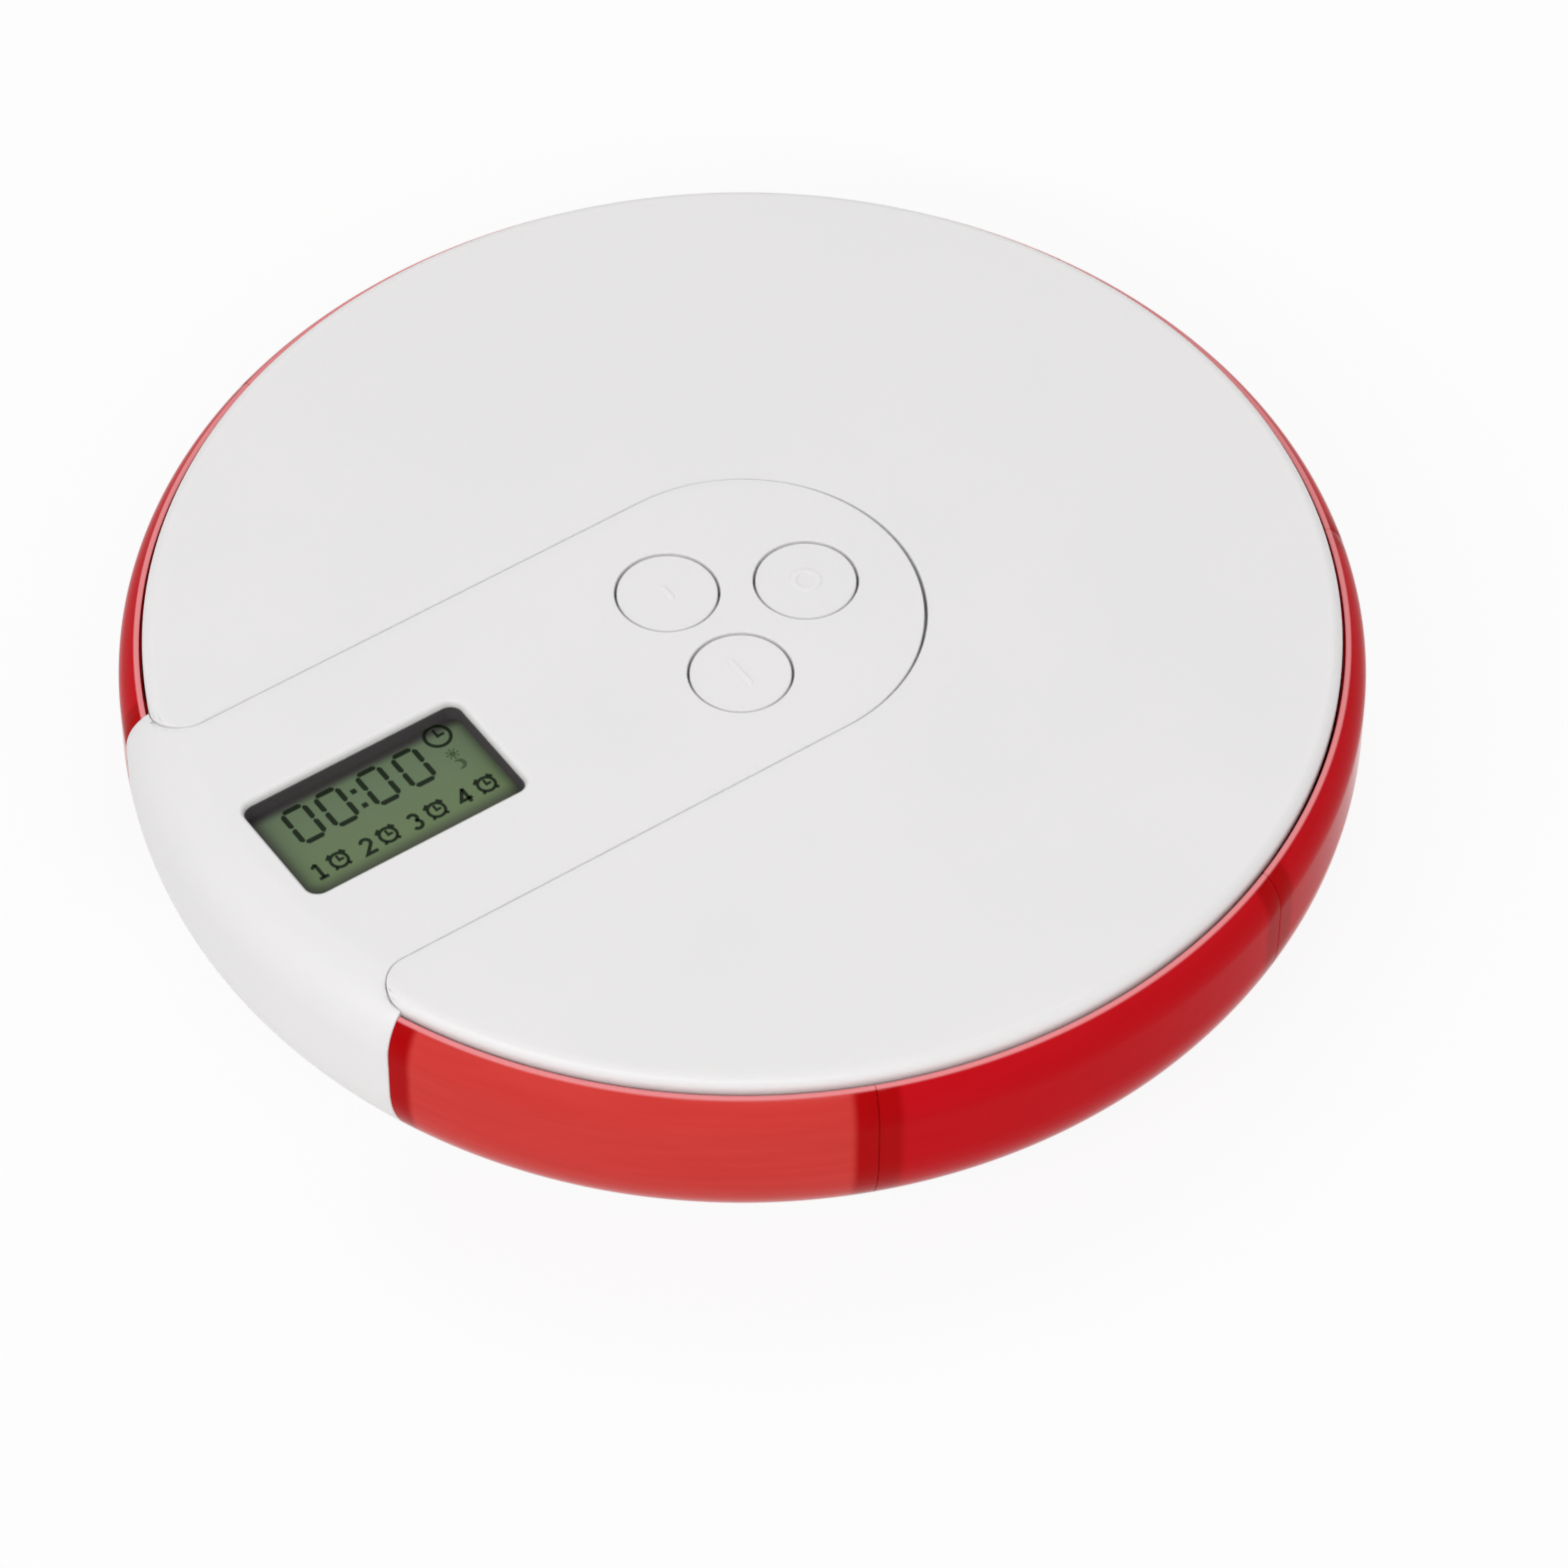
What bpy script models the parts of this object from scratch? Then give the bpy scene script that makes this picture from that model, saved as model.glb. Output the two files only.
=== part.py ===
# Round electronic pill box: seven pull-out drawers around a hub, under a white
# cover, with a timer housing whose tongue runs from the rim to the middle.
# Metres, +Z up. The origin is the middle of the underside. The display end points
# along -X, and the drawers are numbered round the box from the one beside it.

import math

import bmesh
import bpy
from mathutils import Matrix, Vector

# Overall size
BODY_RADIUS = 0.0550
BODY_HEIGHT = 0.0220
SWELL_HEIGHT = 0.0125          # height of the curved lower part of the side
SWELL_DEPTH = 0.0140           # how far that curve draws in at the bottom
SECTOR_COUNT = 8               # seven drawers and the timer housing
HALF_SECTOR = math.pi / SECTOR_COUNT

# Clearances and cuts
SEAT_GAP = 0.0003              # between pieces that rest on each other
SLIDE_GAP = 0.0003             # between pieces that slide on each other
JOINT_GAP = 0.0005             # the line between two neighbours at the rim
TURN_GAP = 0.0003              # round a piece that turns or is pressed
CUT_OVERRUN = 0.0010
JOIN_OVERLAP = 0.0005          # how far joined shapes run into each other

# Round pieces: flats on a full turn
RIM_STEPS = 80
ROUND_STEPS = 36
SMALL_STEPS = 16
FILLET_STEPS = 4
SWELL_STEPS = 6
CORNER_STEPS = 6
WELD_DISTANCE = 0.000001
AXIS_WELD_DISTANCE = 0.00001
FLAT_ANGLE = math.radians(0.2)
SHARP_ANGLE = math.radians(30)

# Base shell
FLOOR_THICKNESS = 0.0024
FOOT_INNER_RADIUS = 0.0365
FOOT_HEIGHT = 0.0005
LUG_HEIGHT = 0.0009            # the lug that stops a drawer
LUG_WIDTH = 0.0040
LUG_LENGTH = 0.0030
LUG_FROM_RIM = 0.0070

# Battery bay in the base
COIN_RADIUS = 0.0100
COIN_THICKNESS = 0.0032
COIN_EDGE = 0.0004
BAY_CLEARANCE = 0.0004
CUP_WALL = 0.0012
CUP_ABOVE_COIN = 0.0005
DOOR_MARGIN = 0.0009           # door wider than the coin cell, all round
DOOR_THICKNESS = 0.0017
DOOR_RIM_CHAMFER = 0.0003
TAB_REACH = 0.0014
TAB_THICKNESS = 0.0006
TAB_HALF_ANGLE = math.radians(16)
TAB_NOTCH_MARGIN = math.radians(2)
TAB_NOTCH_GAP = 0.0002
DOOR_TURN = math.radians(40)   # how far the door turns to unlock
BAY_PAD_RISE = 0.0008          # thicker floor round the bay
BAY_PAD_WIDTH = 0.0008
COIN_SLOT_LENGTH = 0.0110
COIN_SLOT_WIDTH = 0.0016
COIN_SLOT_DEPTH = 0.0007

# Top cover and hub
COVER_THICKNESS = 0.0020
COVER_EDGE_RADIUS = 0.0010
COVER_CORNER_RADIUS = 0.0030
TONGUE_LINE_GAP = 0.00025      # the fine line round the tongue
CORNER_LINE_GAP = 0.0005
HUB_WALL = 0.0014
LEDGE_UNDER_TONGUE = 0.0006    # how far the hub's ledge reaches in under the tongue
LEDGE_WIDTH = 0.0020           # the least that the ledge stands in from the hub's wall
LEDGE_THICKNESS = 0.0010
NECK_HALF_WIDTH = 0.0065       # opening in the hub wall towards the housing

# Timer housing
TONGUE_HALF_WIDTH = 0.0160
PLATE_THICKNESS = 0.0018
HOUSING_WALL = 0.0018
HOUSING_SIDE_WALL = 0.0012
HOUSING_RIM_RADIUS = 0.0050
WINDOW_LENGTH = 0.0221
WINDOW_WIDTH = 0.0120
WINDOW_CORNER = 0.0012
WINDOW_FROM_RIM = 0.0066

# Drawers
DRAWER_HUB_GAP = 0.0006
DRAWER_SIDE_WALL = 0.0015
DRAWER_END_WALL = 0.0015
DRAWER_FRONT_WALL = 0.0022
DRAWER_FLOOR = 0.0018
LIP_THICKNESS = 0.0020
LIP_BELOW_TOP = 0.0013
GROOVE_END_WALL = 0.0010       # left at the drawer's inner end, where it stops
DRAWER_STOP_SLACK = 0.0005     # from either end of the travel to the lug

# Buttons and their switches: middles in plan
BUTTON_RADIUS = 0.00447
BUTTON_RECESS = 0.0002         # cap top below the top of the body, room for its mark
BUTTON_EDGE = 0.0004
BUTTON_FLANGE_REACH = 0.0007
BUTTON_FLANGE_THICKNESS = 0.0010
BUTTON_STEM_RADIUS = 0.0016
BUTTON_STEM_LENGTH = 0.0006
BUTTON_TRAVEL = 0.0005
BUTTON_PAIR_SPACE = 0.00246    # between the edges of the two side by side
SET_BUTTON_MARGIN = 0.00233    # from the middle of the box to the set button's edge
SET_TO_PAIR = 0.0109           # along X, from the set button to the pair
MARK_WIDTH = 0.0006
MARK_SHORT = 0.0018
MARK_LONG = 0.0034
MARK_RING_RADIUS = 0.0011
SWITCH_WIDTH = 0.0060
SWITCH_HEIGHT = 0.0034
PLUNGER_RADIUS = 0.0017
PLUNGER_SUNK = 0.0013
PLUNGER_PROUD = 0.0010

# Display
DISPLAY_MARGIN_X = 0.00115     # glass beyond the window, each way
DISPLAY_MARGIN_Y = 0.0009
DISPLAY_GLASS = 0.0018
FRAME_WALL = 0.0008
FRAME_BELOW_GLASS_TOP = 0.0004
FRAME_CLEARANCE = 0.0002       # cut in the housing's walls where they come near the frame
STRIP_LENGTH = 0.0220
STRIP_WIDTH = 0.0020
STRIP_HEIGHT = 0.0042
STRIP_SIDE_GAP = 0.0004

# Circuit board
BOARD_THICKNESS = 0.0012
BOARD_BOSS_CLEARANCE = 0.0005  # from the board's round end to the hub's bosses
BOARD_RIM_MARGIN = 0.0045
BOARD_NECK_CLEARANCE = 0.0011  # from the hub's wall to where the board widens
BOARD_TAPER_LENGTH = 0.0050
BOARD_NECK_HALF_WIDTH = 0.0055
CHIP_RADIUS = 0.0040
CHIP_HEIGHT = 0.0014
CHIP_FROM_RIM = 0.0120
CRYSTAL_RADIUS = 0.0010
CRYSTAL_LENGTH = 0.0060
CRYSTAL_FROM_RIM = 0.0205
CRYSTAL_Y = 0.0045

# Battery contacts
CONTACT_THICKNESS = 0.0003
CONTACT_WIDTH = 0.0026
CONTACT_REACH = 0.0070
SIDE_CONTACT_SLOT = 0.0032
SIDE_CONTACT_CLEARANCE = 0.0004
SIDE_CONTACT_RISE = 0.0010     # from the coin cell's underside to the slot's floor

# Buzzer
BUZZER_RADIUS = 0.0074
BUZZER_FROM_RIM = 0.0240
BUZZER_DISC_THICKNESS = 0.0003
BUZZER_CERAMIC_RADIUS = 0.0048
BUZZER_RING_WALL = 0.0012
BUZZER_RING_HEIGHT = 0.0020
SOUND_HOLE_RADIUS = 0.0006
SOUND_HOLE_CIRCLE = 0.0026
SOUND_HOLES = 6
LEAD_RADIUS = 0.00035
LEAD_SPREAD = 0.0020
LEAD_START_REACH = 0.0028
LEAD_END_REACH = 0.0062

# Screws
SCREW_HEAD_RADIUS = 0.0019
SCREW_HEAD_HEIGHT = 0.0010
SCREW_SHANK_RADIUS = 0.0009
SCREW_LENGTH = 0.0080
SCREW_CROSS_LENGTH = 0.0022
SCREW_CROSS_WIDTH = 0.0005
SCREW_CROSS_DEPTH = 0.0006
BOSS_RADIUS = 0.0024
PILLAR_RADIUS = 0.0027
PILLAR_RISE = 0.0016
COUNTERBORE_DEPTH = 0.0022
HUB_SCREW_MARGIN = 0.0002      # from the door's slot to the screw pillars
HUB_SCREW_ANGLES = (0.0, math.radians(115), math.radians(-115))
HOUSING_SCREW_FROM_RIM = 0.0165
HOUSING_BOSS_CLEARANCE = 0.0005  # from the display's frame to the bosses beside it
WEB_THICKNESS = 0.0012
BOARD_SCREW_HEAD_RADIUS = 0.0015
BOARD_SCREW_HEAD_HEIGHT = 0.0008
BOARD_SCREW_SHANK_RADIUS = 0.0007
BOARD_SCREW_LENGTH = 0.0052
BOARD_BOSS_RADIUS = 0.0018
BOARD_SCREW_ANGLE = math.radians(60)
NECK_SCREW_FROM_WINDOW = 0.0058

# Heights worked out from the sizes above
FLOOR_TOP = FLOOR_THICKNESS
DRAWER_BOTTOM = FLOOR_TOP + SLIDE_GAP
COVER_BOTTOM = BODY_HEIGHT - COVER_THICKNESS
DRAWER_TOP = COVER_BOTTOM - SLIDE_GAP
LIP_TOP = BODY_HEIGHT - LIP_BELOW_TOP
PLATE_BOTTOM = BODY_HEIGHT - PLATE_THICKNESS
GLASS_TOP = PLATE_BOTTOM - SEAT_GAP
GLASS_BOTTOM = GLASS_TOP - DISPLAY_GLASS
STRIP_TOP = GLASS_BOTTOM - SEAT_GAP
STRIP_BOTTOM = STRIP_TOP - STRIP_HEIGHT
BOARD_TOP = STRIP_BOTTOM - SEAT_GAP
BOARD_BOTTOM = BOARD_TOP - BOARD_THICKNESS
SWITCH_BOTTOM = BOARD_TOP + SEAT_GAP
SWITCH_TOP = SWITCH_BOTTOM + SWITCH_HEIGHT
PLUNGER_TOP = SWITCH_TOP + PLUNGER_PROUD
FLANGE_TOP = PLATE_BOTTOM - SEAT_GAP
FLANGE_BOTTOM = FLANGE_TOP - BUTTON_FLANGE_THICKNESS
PILLAR_TOP = FLOOR_TOP + PILLAR_RISE
BOSS_BOTTOM = PILLAR_TOP + SEAT_GAP
DOOR_TOP = FOOT_HEIGHT + DOOR_THICKNESS
TAB_BOTTOM = DOOR_TOP - TAB_THICKNESS
COIN_BOTTOM = DOOR_TOP + SEAT_GAP
COIN_TOP = COIN_BOTTOM + COIN_THICKNESS
CUP_TOP = COIN_TOP + CUP_ABOVE_COIN
BUZZER_BOTTOM = FLOOR_TOP + BUZZER_RING_HEIGHT + SEAT_GAP

# Plan sizes worked out from the sizes above
CUP_INNER_RADIUS = COIN_RADIUS + BAY_CLEARANCE
DOOR_RADIUS = COIN_RADIUS + DOOR_MARGIN
TAB_RADIUS = DOOR_RADIUS + TAB_REACH
HUB_SCREW_CIRCLE = TAB_RADIUS + TURN_GAP + HUB_SCREW_MARGIN + PILLAR_RADIUS
HUB_INNER_RADIUS = max(HUB_SCREW_CIRCLE + PILLAR_RADIUS + SEAT_GAP,
                       TONGUE_HALF_WIDTH + LEDGE_WIDTH)
HUB_RADIUS = HUB_INNER_RADIUS + HUB_WALL
COVER_RADIUS = BODY_RADIUS - LIP_THICKNESS - SLIDE_GAP
DRAWER_INNER_RADIUS = HUB_RADIUS + DRAWER_HUB_GAP
LUG_END = BODY_RADIUS - LUG_FROM_RIM
LUG_START = LUG_END - LUG_LENGTH
FLAT_RADIUS = BODY_RADIUS - SWELL_DEPTH
WINDOW_X = -(BODY_RADIUS - WINDOW_FROM_RIM - WINDOW_LENGTH / 2)
GLASS_HALF_LENGTH = WINDOW_LENGTH / 2 + DISPLAY_MARGIN_X
GLASS_HALF_WIDTH = WINDOW_WIDTH / 2 + DISPLAY_MARGIN_Y
FRAME_HALF_LENGTH = GLASS_HALF_LENGTH + SEAT_GAP + FRAME_WALL
FRAME_HALF_WIDTH = GLASS_HALF_WIDTH + SEAT_GAP + FRAME_WALL
BOARD_HALF_WIDTH = FRAME_HALF_WIDTH
HOUSING_SCREW_Y = FRAME_HALF_WIDTH + HOUSING_BOSS_CLEARANCE + BOSS_RADIUS
BUZZER_X = -(BODY_RADIUS - BUZZER_FROM_RIM)
SET_BUTTON_X = BUTTON_RADIUS + SET_BUTTON_MARGIN
PAIR_BUTTON_X = SET_BUTTON_X - SET_TO_PAIR
PAIR_BUTTON_Y = BUTTON_RADIUS + BUTTON_PAIR_SPACE / 2
HOUSING_START_X = -(HUB_RADIUS + SEAT_GAP)
BOARD_NECK_X = -(HUB_RADIUS + BOARD_NECK_CLEARANCE)
BOARD_DISC_RADIUS = HUB_SCREW_CIRCLE - BOSS_RADIUS - BOARD_BOSS_CLEARANCE
BOARD_SCREW_CIRCLE = BOARD_DISC_RADIUS - BOARD_BOSS_RADIUS
NECK_SCREW_X = WINDOW_X + WINDOW_LENGTH / 2 + NECK_SCREW_FROM_WINDOW
FAR = BODY_RADIUS + CUT_OVERRUN * 3


# Scene and materials

def clear_scene():
    for item in list(bpy.data.objects):
        bpy.data.objects.remove(item, do_unlink=True)


def new_collection(name):
    collection = bpy.data.collections.new(name)
    bpy.context.scene.collection.children.link(collection)
    return collection


def srgb(red, green, blue):
    return [((value / 255 + 0.055) / 1.055) ** 2.4 for value in (red, green, blue)] + [1.0]


def new_material(name, colour, roughness, metallic=0.0, transmission=0.0):
    material = bpy.data.materials.new(name)
    material.use_nodes = True
    shader = material.node_tree.nodes["Principled BSDF"]
    shader.inputs["Base Color"].default_value = colour
    shader.inputs["Roughness"].default_value = roughness
    shader.inputs["Metallic"].default_value = metallic
    shader.inputs["Transmission Weight"].default_value = transmission
    material.diffuse_color = colour
    return material


clear_scene()
PARTS = new_collection("electronic_pill_box")
CUTTERS = new_collection("pill_box_cutters")
WHITE = new_material("white_abs", srgb(229, 228, 228), 0.35)
RED = new_material("clear_red_polystyrene", srgb(190, 22, 30), 0.12, transmission=0.5)
GREY_GLASS = new_material("display_glass", srgb(107, 133, 96), 0.25)
DARK = new_material("black_plastic", srgb(38, 38, 40), 0.5)
GREEN = new_material("board_laminate", srgb(36, 92, 58), 0.45)
PINK = new_material("contact_rubber", srgb(214, 156, 160), 0.6)
STEEL = new_material("bright_steel", srgb(190, 192, 196), 0.25, metallic=1.0)
BRASS = new_material("brass_sheet", srgb(201, 168, 96), 0.3, metallic=1.0)
CERAMIC = new_material("silvered_ceramic", srgb(212, 212, 206), 0.4)
LEAD_RED = new_material("red_lead_sleeve", srgb(176, 30, 30), 0.5)


# Building blocks

def add_object(name, mesh, material=None):
    item = bpy.data.objects.new(name, mesh)
    if material is None:
        CUTTERS.objects.link(item)
        item.hide_render = True
        item.display_type = "WIRE"
    else:
        PARTS.objects.link(item)
        mesh.materials.append(material)
    return item


def mesh_from(name, builder):
    shape = bmesh.new()
    builder(shape)
    mesh = bpy.data.meshes.new(name)
    shape.to_mesh(mesh)
    shape.free()
    return mesh


def box(name, low, high, material=None):
    size = [high[i] - low[i] for i in range(3)]
    middle = [(high[i] + low[i]) / 2 for i in range(3)]

    def build(shape):
        place = Matrix.Translation(middle) @ Matrix.Diagonal(size + [1.0])
        bmesh.ops.create_cube(shape, size=1.0, matrix=place)

    return add_object(name, mesh_from(name, build), material)


def rod(name, radius, low, high, place=(0.0, 0.0), material=None, steps=SMALL_STEPS):
    def build(shape):
        middle = Matrix.Translation((place[0], place[1], (low + high) / 2))
        bmesh.ops.create_cone(shape, cap_ends=True, segments=steps, radius1=radius,
                              radius2=radius, depth=high - low, matrix=middle)

    return add_object(name, mesh_from(name, build), material)


def turned(name, profile, material=None, steps=RIM_STEPS, closed=False):
    mesh = bpy.data.meshes.new(name)
    edges = [(i, i + 1) for i in range(len(profile) - 1)]
    if closed:
        edges.append((len(profile) - 1, 0))
    mesh.from_pydata([(radius, 0.0, height) for radius, height in profile], edges, [])
    item = add_object(name, mesh, material)
    screw = item.modifiers.new("turn", "SCREW")
    screw.steps = steps
    screw.render_steps = steps
    screw.use_merge_vertices = True
    screw.merge_threshold = AXIS_WELD_DISTANCE
    return item


def plate(name, outlines, low, high, material=None):
    curve = bpy.data.curves.new(name, "CURVE")
    curve.dimensions = "2D"
    curve.fill_mode = "BOTH"
    curve.extrude = (high - low) / 2
    for outline in outlines:
        spline = curve.splines.new("POLY")
        spline.points.add(len(outline) - 1)
        for point, (x, y) in zip(spline.points, outline):
            point.co = (x, y, 0.0, 1.0)
        spline.use_cyclic_u = True
    return as_mesh(name, curve, Vector((0.0, 0.0, (low + high) / 2)), material)


def as_mesh(name, curve, place, material):
    drawn = bpy.data.objects.new(name + "_curve", curve)
    drawn.location = place
    bpy.context.scene.collection.objects.link(drawn)
    bpy.context.view_layer.update()
    evaluated = drawn.evaluated_get(bpy.context.evaluated_depsgraph_get())
    mesh = bpy.data.meshes.new_from_object(evaluated)
    shape = bmesh.new()
    shape.from_mesh(mesh)
    bmesh.ops.remove_doubles(shape, verts=shape.verts, dist=WELD_DISTANCE)
    bmesh.ops.recalc_face_normals(shape, faces=shape.faces)
    shape.to_mesh(mesh)
    shape.free()
    mesh.materials.clear()
    item = add_object(name, mesh, material)
    item.matrix_world = drawn.matrix_world.copy()
    bpy.data.objects.remove(drawn, do_unlink=True)
    return item


def combine(piece, other, operation):
    step = piece.modifiers.new(other.name, "BOOLEAN")
    step.object = other
    step.operation = operation
    step.solver = "EXACT"


def cut(piece, *others):
    for other in others:
        combine(piece, other, "DIFFERENCE")


def join(piece, *others):
    for other in others:
        combine(piece, other, "UNION")


def keep_inside(piece, other):
    combine(piece, other, "INTERSECT")


# Turns a piece's modifiers into its mesh, so that copies can share it
def settle(piece):
    bpy.context.view_layer.update()
    evaluated = piece.evaluated_get(bpy.context.evaluated_depsgraph_get())
    mesh = bpy.data.meshes.new_from_object(evaluated)
    piece.modifiers.clear()
    piece.data = mesh


# Merges the flat faces that cuts leave in slivers, and shades round sides smooth
def finish(piece):
    settle(piece)
    shape = bmesh.new()
    shape.from_mesh(piece.data)
    bmesh.ops.remove_doubles(shape, verts=shape.verts, dist=WELD_DISTANCE)
    bmesh.ops.dissolve_limit(shape, angle_limit=FLAT_ANGLE, verts=shape.verts, edges=shape.edges)
    shape.to_mesh(piece.data)
    shape.free()
    piece.data.shade_smooth()
    piece.data.set_sharp_from_angle(angle=SHARP_ANGLE)


def copy_of(piece, name, place=(0.0, 0.0, 0.0), turn=0.0):
    item = bpy.data.objects.new(name, piece.data)
    item.location = place
    item.rotation_euler = (0.0, 0.0, turn)
    PARTS.objects.link(item)
    return item


def polar(radius, angle):
    return (radius * math.cos(angle), radius * math.sin(angle))


def arc(middle, radius, start, end, steps):
    points = []
    for i in range(steps + 1):
        x, y = polar(radius, start + (end - start) * i / steps)
        points.append((middle[0] + x, middle[1] + y))
    return points


def ring(name, inner, outer, low, high, material=None, steps=ROUND_STEPS):
    profile = [(outer, high), (outer, low), (inner, low), (inner, high)]
    return turned(name, profile, material, steps, closed=True)


# Outlines of the body

# Radius of the outer side, or of a surface inset from it, at a height
def side_radius(height, inset=0.0):
    rise = SWELL_HEIGHT - inset
    share = (SWELL_HEIGHT - height) / rise
    if share <= 0:
        return BODY_RADIUS - inset
    return FLAT_RADIUS + (SWELL_DEPTH - inset) * math.sqrt(max(0.0, 1 - share * share))


# The curved side from the top of the swell down to a height
def swell_points(bottom, inset=0.0):
    rise = SWELL_HEIGHT - inset
    last = math.asin(min(1.0, (SWELL_HEIGHT - bottom) / rise))
    points = []
    for i in range(SWELL_STEPS + 1):
        turn = last * i / SWELL_STEPS
        reach = FLAT_RADIUS + (SWELL_DEPTH - inset) * math.cos(turn)
        points.append((reach, SWELL_HEIGHT - rise * math.sin(turn)))
    return points


# A quarter round from a flat top down to a vertical side
def edge_fillet(radius, top, fillet):
    return arc((radius - fillet, top - fillet), fillet, math.pi / 2, 0.0, FILLET_STEPS)


# A wedge along +X, its sides set in from the sector's planes by an offset
def wedge(offset, start, end):
    drop = offset / math.cos(HALF_SECTOR)
    slope = math.tan(HALF_SECTOR)
    first = start * slope - drop
    last = end * slope - drop
    return [(start, -first), (end, -last), (end, last), (start, first)]


def turned_outline(outline, angle):
    spin = Matrix.Rotation(angle, 2)
    return [tuple(spin @ Vector(point)) for point in outline]


def cover_corner_middle():
    line = TONGUE_HALF_WIDTH + TONGUE_LINE_GAP
    y = line + COVER_CORNER_RADIUS
    x = -math.sqrt((COVER_RADIUS - COVER_CORNER_RADIUS) ** 2 - y * y)
    return x, y


# Half an outline, +Y side, mirrored into a whole one that runs round the tongue
def mirrored(half):
    return half + [(x, -y) for x, y in reversed(half)]


# The slot in the cover: round end at the middle, corners that flare at the rim
def cover_slot_outline():
    line = TONGUE_HALF_WIDTH + TONGUE_LINE_GAP
    middle = cover_corner_middle()
    rim_angle = math.atan2(middle[1], middle[0])
    half = arc((0.0, 0.0), line, 0.0, math.pi / 2, RIM_STEPS // 6)
    half += arc(middle, COVER_CORNER_RADIUS, math.pi * 1.5, rim_angle, CORNER_STEPS)
    half.append(polar(FAR, rim_angle))
    half.append((-FAR, FAR * math.tan(math.pi - rim_angle)))
    return mirrored(half)[1:]


# The housing's top face: the tongue, and out to the housing's sides at the rim
def housing_top_outline():
    drop = JOINT_GAP / 2 / math.cos(HALF_SECTOR)
    half = arc((0.0, 0.0), TONGUE_HALF_WIDTH, 0.0, math.pi / 2, RIM_STEPS // 6)
    half += housing_corner()
    half.append((-FAR, FAR * math.tan(HALF_SECTOR) - drop))
    return mirrored(half)[1:]


# From the tongue's side round the cover's corner to the housing's side. The bend either
# meets that side first, or runs on to the rim and then along the cover's edge
def housing_corner():
    middle = cover_corner_middle()
    bend = COVER_CORNER_RADIUS + CORNER_LINE_GAP
    offset = JOINT_GAP / 2
    normal = math.pi / 2 - HALF_SECTOR
    depth = middle[0] * math.cos(normal) + middle[1] * math.sin(normal)
    reach = (-offset - depth) / bend
    start = math.pi * 1.5 + math.acos((middle[1] - TONGUE_HALF_WIDTH) / bend)
    rim_angle = math.atan2(middle[1], middle[0])
    if reach <= math.cos(rim_angle - normal):
        return arc(middle, bend, start, normal + math.acos(reach), CORNER_STEPS)
    rim = COVER_RADIUS + CORNER_LINE_GAP
    side_angle = math.pi - HALF_SECTOR + math.asin(offset / rim)
    points = arc(middle, bend, start, rim_angle, CORNER_STEPS)
    return points + arc((0.0, 0.0), rim, rim_angle, side_angle, CORNER_STEPS)[1:]


def rounded_rectangle(middle, length, width, corner):
    points = []
    for i, (sx, sy) in enumerate(((1, 1), (-1, 1), (-1, -1), (1, -1))):
        x = middle[0] + sx * (length / 2 - corner)
        y = middle[1] + sy * (width / 2 - corner)
        start = i * math.pi / 2
        points += arc((x, y), corner, start, start + math.pi / 2, CORNER_STEPS // 2)
    return points


def square_outline(reach):
    return [(-reach, -reach), (reach, -reach), (reach, reach), (-reach, reach)]


def drawer_angles():
    first = math.pi + 2 * HALF_SECTOR
    return [first + 2 * HALF_SECTOR * i for i in range(SECTOR_COUNT - 1)]


def hub_screw_places():
    return [polar(HUB_SCREW_CIRCLE, angle) for angle in HUB_SCREW_ANGLES]


def housing_screw_places():
    reach = BODY_RADIUS - HOUSING_SCREW_FROM_RIM
    x = -math.sqrt(reach ** 2 - HOUSING_SCREW_Y ** 2)
    return [(x, -HOUSING_SCREW_Y), (x, HOUSING_SCREW_Y)]


def board_screw_places():
    pair = [polar(BOARD_SCREW_CIRCLE, side * BOARD_SCREW_ANGLE) for side in (1, -1)]
    return pair + [(NECK_SCREW_X, 0.0)]


# Base shell

def base_shell():
    edge = side_radius(FLOOR_TOP)
    profile = [(0.0, FLOOR_TOP), (edge, FLOOR_TOP)]
    profile += base_edge_points()
    profile += [(FOOT_INNER_RADIUS, 0.0), (FOOT_INNER_RADIUS - FOOT_HEIGHT, FOOT_HEIGHT)]
    profile.append((0.0, FOOT_HEIGHT))
    base = turned("base_shell", profile, WHITE)
    pad_radius = TAB_RADIUS + TURN_GAP + BAY_PAD_WIDTH
    join(base, rod("base_pad", pad_radius, FLOOR_TOP - JOIN_OVERLAP,
                   FLOOR_TOP + BAY_PAD_RISE, steps=ROUND_STEPS))
    join(base, rod("base_cup", CUP_INNER_RADIUS + CUP_WALL, FLOOR_TOP, CUP_TOP,
                   steps=ROUND_STEPS))
    join(base, ring("base_buzzer_ring", BUZZER_RADIUS - BUZZER_RING_WALL, BUZZER_RADIUS,
                    FLOOR_TOP - JOIN_OVERLAP, FLOOR_TOP + BUZZER_RING_HEIGHT))
    bpy.data.objects["base_buzzer_ring"].location.x = BUZZER_X
    base_pillars(base)
    base_lugs(base)
    base_bay(base)
    base_sound_holes(base)
    finish(base)


def base_edge_points():
    rise = SWELL_HEIGHT
    first = math.asin((SWELL_HEIGHT - FLOOR_TOP) / rise)
    points = []
    for i in range(1, FILLET_STEPS + 1):
        turn = first + (math.pi / 2 - first) * i / FILLET_STEPS
        reach = FLAT_RADIUS + SWELL_DEPTH * math.cos(turn)
        points.append((reach, SWELL_HEIGHT - rise * math.sin(turn)))
    points[-1] = (FLAT_RADIUS, 0.0)
    return points


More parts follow.
